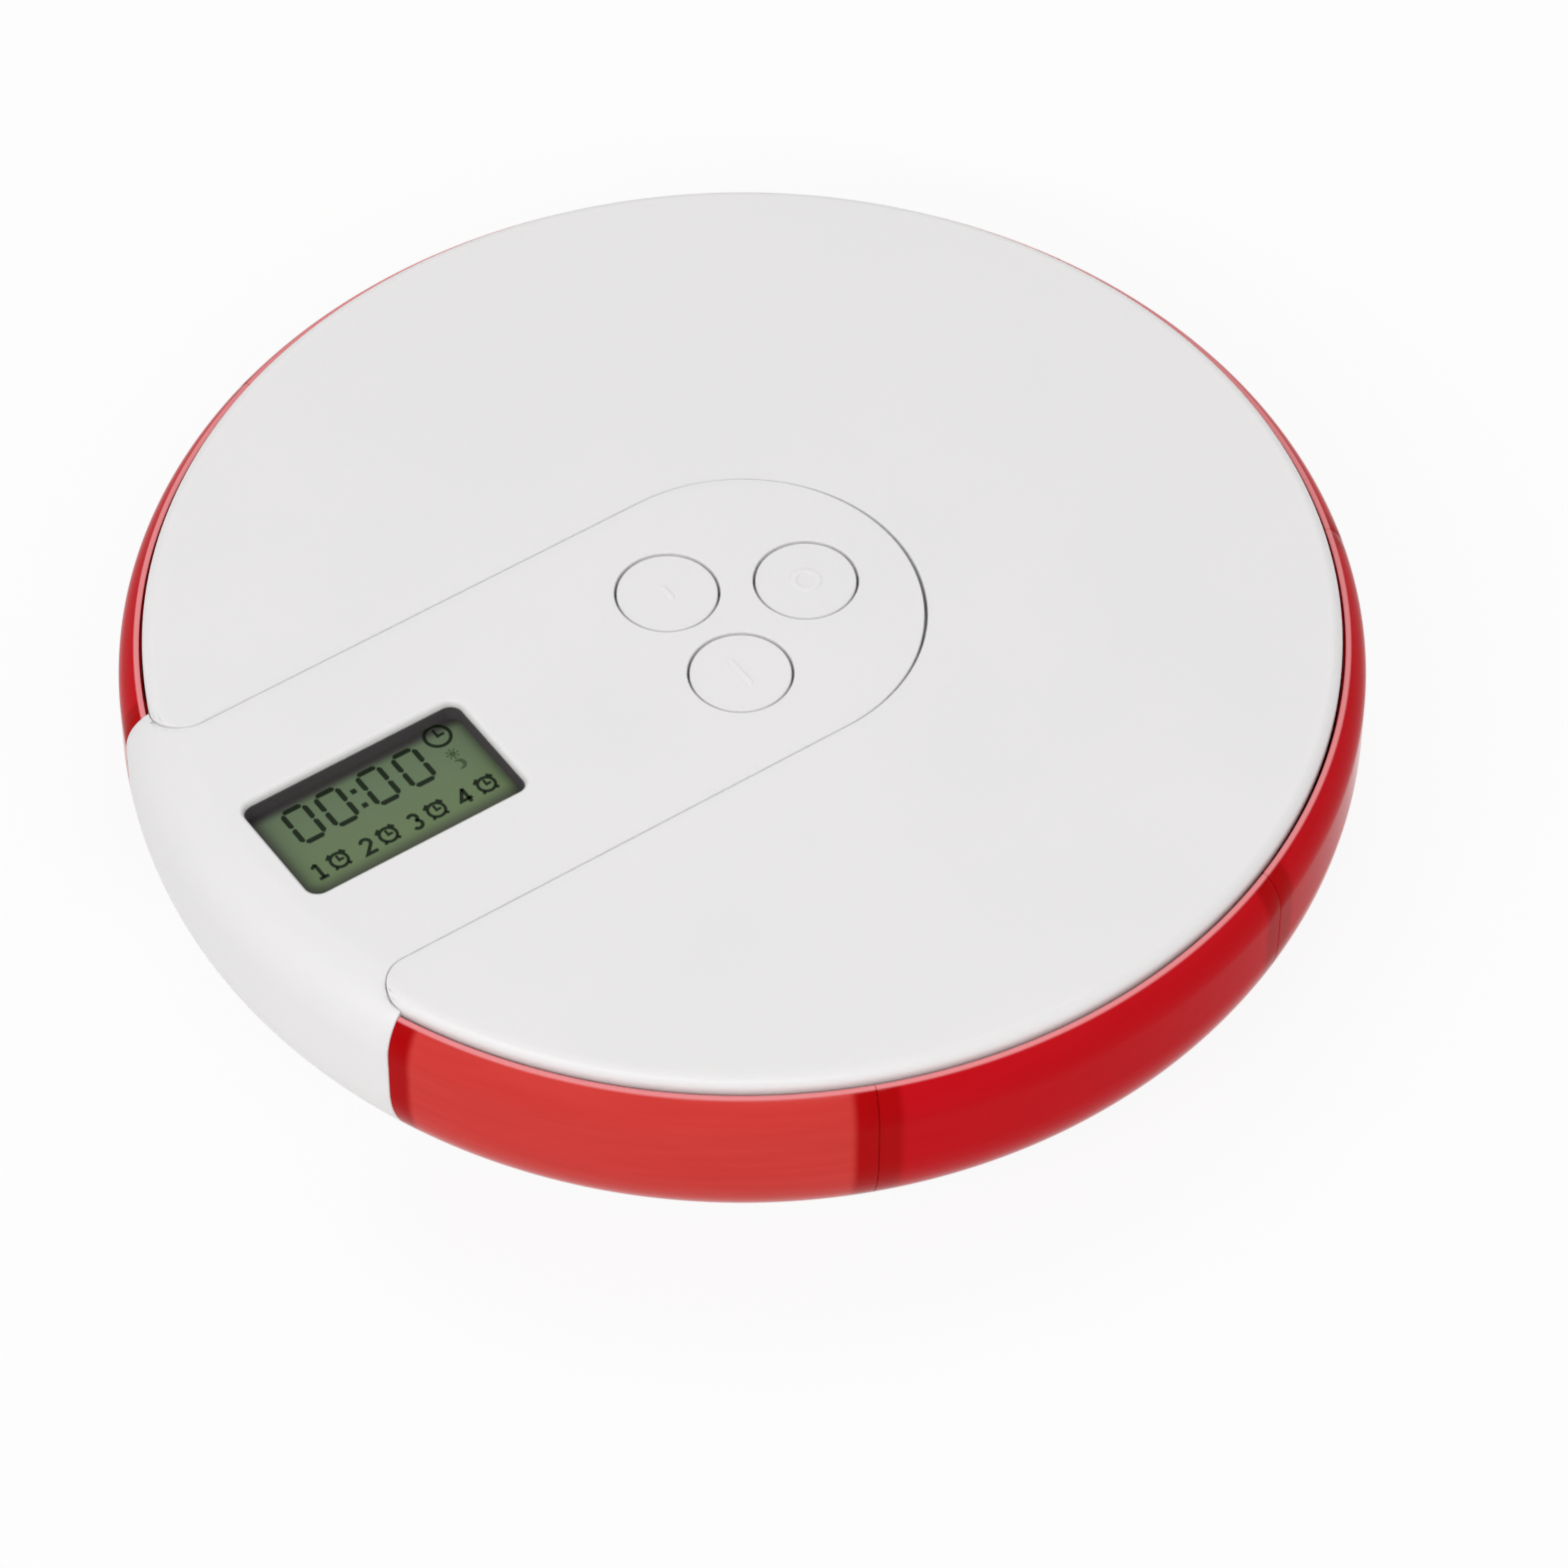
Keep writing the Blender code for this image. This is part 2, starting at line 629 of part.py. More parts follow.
def base_pillars(base):
    for i, place in enumerate(hub_screw_places() + housing_screw_places()):
        join(base, rod(f"base_pillar_{i}", PILLAR_RADIUS, FLOOR_TOP - JOIN_OVERLAP,
                       PILLAR_TOP, place))
        cut(base, rod(f"base_counterbore_{i}", SCREW_HEAD_RADIUS + SEAT_GAP,
                      -CUT_OVERRUN, COUNTERBORE_DEPTH, place))
        cut(base, rod(f"base_screw_hole_{i}", SCREW_SHANK_RADIUS + SEAT_GAP,
                      -CUT_OVERRUN, PILLAR_TOP + CUT_OVERRUN, place))


def base_lugs(base):
    for i, angle in enumerate(drawer_angles()):
        lug = box(f"base_lug_{i}", (LUG_START, -LUG_WIDTH / 2, FLOOR_TOP - JOIN_OVERLAP),
                  (LUG_END, LUG_WIDTH / 2, FLOOR_TOP + LUG_HEIGHT))
        lug.rotation_euler.z = angle
        join(base, lug)


# The door's opening, the slot its tabs turn in, and the notches they enter by
def base_bay(base):
    slot_radius = TAB_RADIUS + TURN_GAP
    slot_low = TAB_BOTTOM - SLIDE_GAP
    cut(base, rod("bay_opening", DOOR_RADIUS + TURN_GAP, -CUT_OVERRUN,
                  slot_low + CUT_OVERRUN / 2, steps=ROUND_STEPS))
    cut(base, rod("bay_slot", slot_radius, slot_low, DOOR_TOP + SEAT_GAP / 2,
                  steps=ROUND_STEPS))
    cut(base, rod("bay_coin", CUP_INNER_RADIUS, DOOR_TOP, CUP_TOP + CUT_OVERRUN,
                  steps=ROUND_STEPS))
    for i in range(2):
        middle = DOOR_TURN + i * math.pi
        spread = TAB_HALF_ANGLE + TAB_NOTCH_MARGIN
        notch = plate(f"bay_notch_{i}", [pie(TAB_RADIUS + TAB_NOTCH_GAP, middle, spread)],
                      -CUT_OVERRUN, slot_low + CUT_OVERRUN / 2)
        cut(base, notch)
    reach = CUP_INNER_RADIUS + CUP_WALL + CUT_OVERRUN
    low = COIN_BOTTOM + SIDE_CONTACT_RISE
    cut(base, box("cup_contact_slot", (-SIDE_CONTACT_SLOT / 2, COIN_RADIUS, low),
                  (SIDE_CONTACT_SLOT / 2, reach, CUP_TOP + CUT_OVERRUN)))


def pie(radius, middle, spread):
    points = arc((0.0, 0.0), radius, middle - spread, middle + spread, CORNER_STEPS)
    return [(0.0, 0.0)] + points


def base_sound_holes(base):
    places = [(BUZZER_X, 0.0)]
    for i in range(SOUND_HOLES):
        x, y = polar(SOUND_HOLE_CIRCLE, 2 * math.pi * i / SOUND_HOLES)
        places.append((BUZZER_X + x, y))
    for i, place in enumerate(places):
        cut(base, rod(f"base_sound_hole_{i}", SOUND_HOLE_RADIUS, -CUT_OVERRUN,
                      FLOOR_TOP + CUT_OVERRUN, place, steps=SMALL_STEPS // 2))


# Battery door, coin cell and contacts

def battery_door():
    profile = [(0.0, DOOR_TOP), (DOOR_RADIUS, DOOR_TOP)]
    profile.append((DOOR_RADIUS, FOOT_HEIGHT + DOOR_RIM_CHAMFER))
    profile.append((DOOR_RADIUS - DOOR_RIM_CHAMFER, FOOT_HEIGHT))
    profile.append((0.0, FOOT_HEIGHT))
    door = turned("battery_door", profile, WHITE, ROUND_STEPS)
    for i in range(2):
        tab = plate(f"door_tab_{i}", [pie(TAB_RADIUS, i * math.pi, TAB_HALF_ANGLE)],
                    TAB_BOTTOM, DOOR_TOP - SLIDE_GAP / 2)
        join(door, tab)
    cut(door, box("door_coin_slot", (-COIN_SLOT_WIDTH / 2, -COIN_SLOT_LENGTH / 2, -CUT_OVERRUN),
                  (COIN_SLOT_WIDTH / 2, COIN_SLOT_LENGTH / 2, FOOT_HEIGHT + COIN_SLOT_DEPTH)))
    finish(door)


def coin_cell():
    profile = [(0.0, COIN_TOP), (COIN_RADIUS - COIN_EDGE, COIN_TOP)]
    profile += [(COIN_RADIUS, COIN_TOP - COIN_EDGE), (COIN_RADIUS, COIN_BOTTOM + COIN_EDGE)]
    profile += [(COIN_RADIUS - COIN_EDGE, COIN_BOTTOM), (0.0, COIN_BOTTOM)]
    finish(turned("coin_cell", profile, STEEL, ROUND_STEPS))


def battery_contacts():
    low = COIN_TOP + SEAT_GAP
    half = CONTACT_WIDTH / 2
    top = BOARD_BOTTOM - SEAT_GAP
    leaf = box("battery_contact_minus", (-CONTACT_REACH, -half, low),
               (CONTACT_REACH, half, low + CONTACT_THICKNESS), STEEL)
    leg_x = -CONTACT_REACH
    join(leaf, box("contact_minus_leg", (leg_x, -half / 2, low + CONTACT_THICKNESS / 2),
                   (leg_x + CONTACT_THICKNESS, half / 2, top)))
    inner = COIN_RADIUS + SIDE_CONTACT_CLEARANCE
    box("battery_contact_plus", (-half, inner, COIN_BOTTOM + SIDE_CONTACT_RISE + SEAT_GAP),
        (half, inner + CONTACT_THICKNESS, top), STEEL)


# Top cover with its hub

def top_cover():
    profile = [(0.0, BODY_HEIGHT)] + edge_fillet(COVER_RADIUS, BODY_HEIGHT, COVER_EDGE_RADIUS)
    profile += [(COVER_RADIUS, COVER_BOTTOM), (0.0, COVER_BOTTOM)]
    cover = turned("top_cover", profile, WHITE)
    join(cover, hub_ring())
    cut(cover, plate("cover_slot", [cover_slot_outline()], PLATE_BOTTOM - SEAT_GAP,
                     BODY_HEIGHT + CUT_OVERRUN))
    for i, place in enumerate(hub_screw_places()):
        angle = HUB_SCREW_ANGLES[i]
        join(cover, rod(f"hub_boss_{i}", BOSS_RADIUS, BOSS_BOTTOM,
                        COVER_BOTTOM - LEDGE_THICKNESS / 2, place))
        web = box(f"hub_web_{i}", (HUB_SCREW_CIRCLE + BOSS_RADIUS / 2, -WEB_THICKNESS / 2, BOSS_BOTTOM),
                  (HUB_RADIUS - HUB_WALL / 2, WEB_THICKNESS / 2, COVER_BOTTOM - LEDGE_THICKNESS / 2))
        web.rotation_euler.z = angle
        join(cover, web)
        cut(cover, rod(f"hub_pilot_{i}", SCREW_SHANK_RADIUS + SEAT_GAP,
                       BOSS_BOTTOM - CUT_OVERRUN, screw_tip() + SEAT_GAP, place))
    finish(cover)


def screw_tip():
    return COUNTERBORE_DEPTH - SEAT_GAP + SCREW_LENGTH


# The hub's wall and the ledge that the tongue rests on, open towards the housing
def hub_ring():
    inner = HUB_INNER_RADIUS
    ledge = TONGUE_HALF_WIDTH - LEDGE_UNDER_TONGUE
    sunk = COVER_BOTTOM + COVER_THICKNESS / 4
    ledge_low = COVER_BOTTOM - LEDGE_THICKNESS
    profile = [(HUB_RADIUS, sunk), (HUB_RADIUS, DRAWER_BOTTOM), (inner, DRAWER_BOTTOM)]
    profile += [(inner, ledge_low), (ledge, ledge_low), (ledge, sunk)]
    hub = turned("hub_ring", profile, steps=ROUND_STEPS, closed=True)
    neck = box("hub_neck", (-HUB_RADIUS - CUT_OVERRUN, -NECK_HALF_WIDTH, 0.0),
               (0.0, NECK_HALF_WIDTH, BODY_HEIGHT + CUT_OVERRUN))
    cut(hub, neck)
    return hub


# Timer housing

def timer_housing():
    profile = [(0.0, BODY_HEIGHT)] + edge_fillet(BODY_RADIUS, BODY_HEIGHT, HOUSING_RIM_RADIUS)
    profile += swell_points(DRAWER_BOTTOM) + [(0.0, DRAWER_BOTTOM)]
    housing = turned("timer_housing", profile, WHITE)
    offset = JOINT_GAP / 2
    sector = turned_outline(wedge(offset, -HOUSING_START_X, FAR + CUT_OVERRUN), math.pi)
    outside = square_outline(FAR + CUT_OVERRUN * 2)
    cut(housing, plate("housing_sides", [outside, sector], -CUT_OVERRUN, PLATE_BOTTOM))
    cut(housing, plate("housing_top", [outside, housing_top_outline()], DRAWER_TOP,
                       BODY_HEIGHT + CUT_OVERRUN))
    cut(housing, housing_hollow())
    cut(housing, frame_room())
    housing_bosses(housing)
    cut(housing, plate("display_window", [window_outline()], PLATE_BOTTOM - CUT_OVERRUN,
                       BODY_HEIGHT + CUT_OVERRUN))
    for name, place in button_places():
        cut(housing, rod(f"{name}_hole", BUTTON_RADIUS + TURN_GAP, PLATE_BOTTOM - CUT_OVERRUN,
                         BODY_HEIGHT + CUT_OVERRUN, place, steps=ROUND_STEPS))
    finish(housing)


def frame_room():
    half_length = FRAME_HALF_LENGTH + FRAME_CLEARANCE
    half_width = FRAME_HALF_WIDTH + FRAME_CLEARANCE
    top = GLASS_TOP - FRAME_BELOW_GLASS_TOP + FRAME_CLEARANCE
    return box("frame_room", (WINDOW_X - half_length, -half_width, BOARD_TOP),
               (WINDOW_X + half_length, half_width, top))


def window_outline():
    return rounded_rectangle((WINDOW_X, 0.0), WINDOW_LENGTH, WINDOW_WIDTH, WINDOW_CORNER)


def housing_hollow():
    radius = BODY_RADIUS - HOUSING_WALL
    round_top = HOUSING_RIM_RADIUS - HOUSING_WALL
    low = DRAWER_BOTTOM - CUT_OVERRUN
    fillet_base = BODY_HEIGHT - HOUSING_RIM_RADIUS
    reach = math.sqrt(round_top ** 2 - (PLATE_BOTTOM - fillet_base) ** 2) if (
        PLATE_BOTTOM - fillet_base < round_top) else 0.0
    first = math.atan2(min(PLATE_BOTTOM - fillet_base, round_top), reach)
    profile = [(0.0, PLATE_BOTTOM)]
    profile += arc((radius - round_top, fillet_base), round_top, first, 0.0, FILLET_STEPS)
    profile += swell_points(DRAWER_BOTTOM, HOUSING_WALL)
    profile += [(profile[-1][0], low), (0.0, low)]
    hollow = turned("housing_hollow", profile)
    offset = JOINT_GAP / 2 + HOUSING_SIDE_WALL
    inner = turned_outline(wedge(offset, -HOUSING_START_X - CUT_OVERRUN, FAR), math.pi)
    keep_inside(hollow, plate("hollow_sides", [inner], low - CUT_OVERRUN,
                              BODY_HEIGHT + CUT_OVERRUN))
    return hollow


def housing_bosses(housing):
    top = PLATE_BOTTOM + PLATE_THICKNESS / 3
    for i, place in enumerate(housing_screw_places()):
        cut(housing, rod(f"housing_pillar_room_{i}", PILLAR_RADIUS + SEAT_GAP,
                         DRAWER_BOTTOM - CUT_OVERRUN, BOSS_BOTTOM, place))
        join(housing, rod(f"housing_boss_{i}", BOSS_RADIUS, BOSS_BOTTOM, top, place))
        cut(housing, rod(f"housing_pilot_{i}", SCREW_SHANK_RADIUS + SEAT_GAP,
                         BOSS_BOTTOM - CUT_OVERRUN, screw_tip() + SEAT_GAP, place))
    for i, place in enumerate(board_screw_places()):
        join(housing, rod(f"board_boss_{i}", BOARD_BOSS_RADIUS, BOARD_TOP + SEAT_GAP, top, place))
        cut(housing, rod(f"board_pilot_{i}", BOARD_SCREW_SHANK_RADIUS + SEAT_GAP,
                         BOARD_TOP - CUT_OVERRUN, board_screw_tip() + SEAT_GAP, place))


def board_screw_tip():
    return BOARD_BOTTOM - SEAT_GAP + BOARD_SCREW_LENGTH


# Drawers: one tray, and a copy of it for every compartment

def drawers():
    first = tray("drawer_1")
    angles = drawer_angles()
    for i, angle in enumerate(angles):
        if i:
            copy_of(first, f"drawer_{i + 1}", turn=angle)
    first.rotation_euler.z = angles[0]


def tray(name):
    lip_inner = BODY_RADIUS - LIP_THICKNESS
    profile = lip_outline() + swell_points(DRAWER_BOTTOM)
    profile += [(DRAWER_INNER_RADIUS, DRAWER_BOTTOM), (DRAWER_INNER_RADIUS, DRAWER_TOP)]
    profile += [(lip_inner, DRAWER_TOP), (lip_inner, LIP_TOP)]
    piece = turned(name, profile, RED, closed=True)
    sides = wedge(JOINT_GAP / 2, DRAWER_INNER_RADIUS - CUT_OVERRUN * 2, FAR)
    keep_inside(piece, plate("tray_sides", [sides], -CUT_OVERRUN, BODY_HEIGHT + CUT_OVERRUN))
    cut(piece, tray_hollow())
    cut(piece, tray_groove())
    finish(piece)
    return piece


# The lip's outer side carries on the round of the housing's rim, from the lip's top down
def lip_outline():
    middle = (BODY_RADIUS - HOUSING_RIM_RADIUS, BODY_HEIGHT - HOUSING_RIM_RADIUS)
    first = math.asin((LIP_TOP - middle[1]) / HOUSING_RIM_RADIUS)
    return arc(middle, HOUSING_RIM_RADIUS, first, 0.0, FILLET_STEPS)


def tray_hollow():
    low = DRAWER_BOTTOM + DRAWER_FLOOR
    high = LIP_TOP + CUT_OVERRUN
    start = DRAWER_INNER_RADIUS + DRAWER_END_WALL
    front = DRAWER_FRONT_WALL
    profile = [(BODY_RADIUS - front, high)] + swell_points(low, front)
    profile += [(start, low), (start, high)]
    hollow = turned("tray_hollow", profile, closed=True)
    offset = JOINT_GAP / 2 + DRAWER_SIDE_WALL
    inner = wedge(offset, start - CUT_OVERRUN, FAR)
    keep_inside(hollow, plate("tray_hollow_sides", [inner], 0.0, high + CUT_OVERRUN))
    return hollow


# A groove round the lug, closed at both ends. The drawer slides out until the groove's
# inner end meets the lug: its travel is the groove's length, less the lug's and the slack
def tray_groove():
    half = LUG_WIDTH / 2 + SLIDE_GAP
    inner = DRAWER_INNER_RADIUS + GROOVE_END_WALL
    outer = LUG_END + DRAWER_STOP_SLACK
    return box("tray_groove", (inner, -half, DRAWER_BOTTOM - CUT_OVERRUN),
               (outer, half, FLOOR_TOP + LUG_HEIGHT + SLIDE_GAP))


# Buttons and switches

def button_places():
    return [("hour_button", (PAIR_BUTTON_X, PAIR_BUTTON_Y)),
            ("minute_button", (PAIR_BUTTON_X, -PAIR_BUTTON_Y)),
            ("set_button", (SET_BUTTON_X, 0.0))]


def button_cap(name, place):
    top = BODY_HEIGHT - BUTTON_RECESS
    flange = BUTTON_RADIUS + BUTTON_FLANGE_REACH
    stem_low = FLANGE_BOTTOM - BUTTON_STEM_LENGTH
    profile = [(0.0, top)] + edge_fillet(BUTTON_RADIUS, top, BUTTON_EDGE)
    profile += [(BUTTON_RADIUS, FLANGE_TOP), (flange, FLANGE_TOP), (flange, FLANGE_BOTTOM)]
    profile += [(BUTTON_STEM_RADIUS, FLANGE_BOTTOM), (BUTTON_STEM_RADIUS, stem_low)]
    profile.append((0.0, stem_low))
    cap = turned(name, profile, WHITE, ROUND_STEPS)
    join(cap, touch_mark(name, top, place))
    cap.location = (place[0], place[1], 0.0)
    finish(cap)


# A raised mark for each button: a short bar, a long bar, and a ring
def touch_mark(name, top, place):
    low = top - BUTTON_EDGE / 2
    half = MARK_WIDTH / 2
    mark_name = f"{name}_mark"
    if name == "set_button":
        mark = ring(mark_name, MARK_RING_RADIUS - half, MARK_RING_RADIUS + half, low,
                    BODY_HEIGHT, steps=SMALL_STEPS)
    else:
        length = MARK_SHORT if name == "hour_button" else MARK_LONG
        mark = box(mark_name, (-half, -length / 2, low), (half, length / 2, BODY_HEIGHT))
    mark.location = (place[0], place[1], 0.0)
    return mark


def switch(name, place):
    x, y = place
    half = SWITCH_WIDTH / 2
    body = box(f"{name}_switch_body", (x - half, y - half, SWITCH_BOTTOM),
               (x + half, y + half, SWITCH_TOP), DARK)
    plunger_low = SWITCH_TOP - PLUNGER_SUNK
    room = plunger_low - BUTTON_TRAVEL - SLIDE_GAP
    cut(body, rod(f"{name}_switch_bore", PLUNGER_RADIUS + SLIDE_GAP, room,
                  SWITCH_TOP + CUT_OVERRUN, place))
    plunger = rod(f"{name}_switch_plunger", PLUNGER_RADIUS, plunger_low, PLUNGER_TOP,
                  (0.0, 0.0), DARK)
    plunger.location = (x, y, 0.0)
    finish(plunger)


def buttons_and_switches():
    for name, place in button_places():
        button_cap(name, place)
        switch(name.split("_")[0], place)


# Display

def display():
    box("display_glass", (WINDOW_X - GLASS_HALF_LENGTH, -GLASS_HALF_WIDTH, GLASS_BOTTOM),
        (WINDOW_X + GLASS_HALF_LENGTH, GLASS_HALF_WIDTH, GLASS_TOP), GREY_GLASS)
    low = BOARD_TOP + SEAT_GAP
    high = GLASS_TOP - FRAME_BELOW_GLASS_TOP
    frame = box("display_frame", (WINDOW_X - FRAME_HALF_LENGTH, -FRAME_HALF_WIDTH, low),
                (WINDOW_X + FRAME_HALF_LENGTH, FRAME_HALF_WIDTH, high), DARK)
    inner_x = GLASS_HALF_LENGTH + SEAT_GAP
    inner_y = GLASS_HALF_WIDTH + SEAT_GAP
    cut(frame, box("display_frame_room", (WINDOW_X - inner_x, -inner_y, low - CUT_OVERRUN),
                   (WINDOW_X + inner_x, inner_y, high + CUT_OVERRUN)))
    strip_y = -inner_y + STRIP_SIDE_GAP
    box("contact_strip", (WINDOW_X - STRIP_LENGTH / 2, strip_y, STRIP_BOTTOM),
        (WINDOW_X + STRIP_LENGTH / 2, strip_y + STRIP_WIDTH, STRIP_TOP), PINK)


# Circuit board and what is on it

def board_outline():
    end = -(BODY_RADIUS - BOARD_RIM_MARGIN)
    join_angle = math.pi - math.asin(BOARD_NECK_HALF_WIDTH / BOARD_DISC_RADIUS)
    half = arc((0.0, 0.0), BOARD_DISC_RADIUS, 0.0, join_angle, ROUND_STEPS // 3)
    half.append((BOARD_NECK_X, BOARD_NECK_HALF_WIDTH))
    half.append((BOARD_NECK_X - BOARD_TAPER_LENGTH, BOARD_HALF_WIDTH))
    half.append((end, BOARD_HALF_WIDTH))
    return mirrored(half)[1:]


def circuit_board():
    board = plate("circuit_board", [board_outline()], BOARD_BOTTOM, BOARD_TOP, GREEN)
    for i, place in enumerate(board_screw_places()):
        cut(board, rod(f"board_hole_{i}", BOARD_SCREW_SHANK_RADIUS + SEAT_GAP,
                       BOARD_BOTTOM - CUT_OVERRUN, BOARD_TOP + CUT_OVERRUN, place))


# The sealed chip: a low drop of resin under the board
def timer_chip():
    top = BOARD_BOTTOM - SEAT_GAP
    rim = CHIP_HEIGHT / 4
    profile = [(0.0, top), (CHIP_RADIUS, top), (CHIP_RADIUS, top - rim)]
    for i in range(1, FILLET_STEPS + 1):
        turn = math.pi / 2 * i / FILLET_STEPS
        profile.append((CHIP_RADIUS * math.cos(turn),
                        top - rim - (CHIP_HEIGHT - rim) * math.sin(turn)))
    profile[-1] = (0.0, top - CHIP_HEIGHT)
    chip = turned("timer_chip", profile, DARK, SMALL_STEPS)
    chip.location.x = -(BODY_RADIUS - CHIP_FROM_RIM)
    finish(chip)


def crystal():
    can = rod("crystal_can", CRYSTAL_RADIUS, -CRYSTAL_LENGTH / 2, CRYSTAL_LENGTH / 2,
              (0.0, 0.0), STEEL, SMALL_STEPS // 2)
    can.rotation_euler.y = math.pi / 2
    height = BOARD_BOTTOM - SEAT_GAP - CRYSTAL_RADIUS
    can.location = (-(BODY_RADIUS - CRYSTAL_FROM_RIM), CRYSTAL_Y, height)
    finish(can)


# Buzzer

def buzzer():
    plate_top = BUZZER_BOTTOM + BUZZER_DISC_THICKNESS
    disc = rod("buzzer_plate", BUZZER_RADIUS, BUZZER_BOTTOM, plate_top, (BUZZER_X, 0.0),
               BRASS, ROUND_STEPS)
    finish(disc)
    low = plate_top + SEAT_GAP
    ceramic = rod("buzzer_ceramic", BUZZER_CERAMIC_RADIUS, low, low + BUZZER_DISC_THICKNESS,
                  (BUZZER_X, 0.0), CERAMIC, ROUND_STEPS)
    finish(ceramic)
    start = low + BUZZER_DISC_THICKNESS + SEAT_GAP
    lead("buzzer_lead_signal", start, LEAD_SPREAD, LEAD_RED)
    lead("buzzer_lead_ground", start, -LEAD_SPREAD, DARK)


def lead(name, start, y, material):
    end = BOARD_BOTTOM - SEAT_GAP
    x_start = BUZZER_X + LEAD_START_REACH
    x_end = BUZZER_X + LEAD_END_REACH
    curve = bpy.data.curves.new(name, "CURVE")
    curve.dimensions = "3D"
    curve.bevel_depth = LEAD_RADIUS
    curve.bevel_resolution = 2
    curve.use_fill_caps = True
    spline = curve.splines.new("POLY")
    spline.points.add(CORNER_STEPS)
    for i, point in enumerate(spline.points):
        share = i / CORNER_STEPS
        ease = share * share * (3 - 2 * share)
        point.co = (x_start + (x_end - x_start) * ease, y, start + (end - start) * share, 1.0)
    finish(as_mesh(name, curve, Vector((0.0, 0.0, 0.0)), material))


# Screws

def screw(name, head_radius, head_height, shank_radius, length):
    profile = [(0.0, length), (shank_radius / 2, length)]
    profile += [(shank_radius, length - shank_radius), (shank_radius, 0.0)]
    profile += [(head_radius, 0.0), (head_radius, -head_height / 2)]
    profile += [(head_radius - head_height / 2, -head_height), (0.0, -head_height)]
    piece = turned(name, profile, STEEL, SMALL_STEPS)
    long_half = min(SCREW_CROSS_LENGTH, head_radius) / 2
    thin_half = SCREW_CROSS_WIDTH / 2
    low = -head_height - CUT_OVERRUN
    high = -head_height + SCREW_CROSS_DEPTH
    cut(piece, box(f"{name}_cross_a", (-long_half, -thin_half, low), (long_half, thin_half, high)))
    cut(piece, box(f"{name}_cross_b", (-thin_half, -long_half, low), (thin_half, long_half, high)))
    finish(piece)
    return piece


def screws():
    case_height = COUNTERBORE_DEPTH - SEAT_GAP
    case_places = hub_screw_places() + housing_screw_places()
    first = screw("case_screw_1", SCREW_HEAD_RADIUS, SCREW_HEAD_HEIGHT, SCREW_SHANK_RADIUS,
                  SCREW_LENGTH)
    place_screws(first, "case_screw", case_places, case_height)
    small = screw("board_screw_1", BOARD_SCREW_HEAD_RADIUS, BOARD_SCREW_HEAD_HEIGHT,
                  BOARD_SCREW_SHANK_RADIUS, BOARD_SCREW_LENGTH)
    place_screws(small, "board_screw", board_screw_places(), BOARD_BOTTOM - SEAT_GAP)


def place_screws(first, name, places, height):
    for i, (x, y) in enumerate(places):
        if i:
            copy_of(first, f"{name}_{i + 1}", (x, y, height))
    first.location = (places[0][0], places[0][1], height)


base_shell()
battery_door()
coin_cell()
battery_contacts()
top_cover()
timer_housing()
drawers()
buttons_and_switches()
display()
circuit_board()
timer_chip()
crystal()
buzzer()
screws()
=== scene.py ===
# Looks of a round pill box: seven clear red drawers under a white cover, and a timer.
# Shapes are drawn in millimetres and turned to metres as each piece is finished.
import math

import bmesh
import bpy
from mathutils import Matrix, Vector


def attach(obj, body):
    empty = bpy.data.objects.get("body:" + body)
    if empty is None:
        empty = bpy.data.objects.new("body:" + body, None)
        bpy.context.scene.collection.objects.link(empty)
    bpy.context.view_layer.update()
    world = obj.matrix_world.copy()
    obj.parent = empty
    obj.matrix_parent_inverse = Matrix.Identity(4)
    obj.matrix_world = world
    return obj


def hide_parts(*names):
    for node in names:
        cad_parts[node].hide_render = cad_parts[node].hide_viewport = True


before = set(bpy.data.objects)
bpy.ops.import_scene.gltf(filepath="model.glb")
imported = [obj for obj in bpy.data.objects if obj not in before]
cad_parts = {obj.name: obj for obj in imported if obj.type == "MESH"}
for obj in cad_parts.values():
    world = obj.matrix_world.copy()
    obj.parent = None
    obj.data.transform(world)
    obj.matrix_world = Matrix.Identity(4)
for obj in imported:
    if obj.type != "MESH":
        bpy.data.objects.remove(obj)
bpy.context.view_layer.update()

mm = 0.001
degree = math.pi / 180
fullTurn = 2 * math.pi
centre = (0.0, 0.0)
print("frame loaded")

case = {
    "radius": 55.0, "height": 22.0,
    "swellHeight": 12.5, "swellDepth": 14.0,   # the curved lower part of the side
    "sectors": 8,                              # seven drawers and the timer housing
    "jointGap": 0.03,
    "rimSteps": 288, "roundSteps": 96, "smallSteps": 48,
}
# How each mesh is cleaned: points that meet, faces that are level, edges that are rounded
cleaning = {
    "turnedMerge": 0.0005, "weld": 0.004, "level": 0.2 * degree,
    "roundFrom": 35 * degree, "sharpFrom": 40 * degree,
}
flatRadius = case["radius"] - case["swellDepth"]
halfSector = math.pi / case["sectors"]
caseTop = case["height"]
roundSteps = case["roundSteps"]
far = case["radius"] + 3.0
over = 1.0                                     # how far a cutting shape runs past
sink = 0.5                                     # how far a joined shape reaches in
nearlyRound = 0.98                             # a round end's corner, to half its width


# Shapes

def polar(radius, angle, middle=centre):
    return (middle[0] + radius * math.cos(angle), middle[1] + radius * math.sin(angle))


def arc(middle, radius, start, end, steps=8):
    return [polar(radius, start + (end - start) * i / steps, middle) for i in range(steps + 1)]


def circle(middle, radius, steps):
    return arc(middle, radius, 0.0, fullTurn, steps)[:-1]


def upperRound(radius, top, fillet, steps=10):
    return arc((radius - fillet, top - fillet), fillet, math.pi / 2, 0.0, steps)


def lowerRound(radius, low, fillet, steps):
    return arc((radius - fillet, low + fillet), fillet, 0.0, -math.pi / 2, steps)


def addObject(name, data):
    item = bpy.data.objects.new(name, data)
    bpy.context.scene.collection.objects.link(item)
    return item


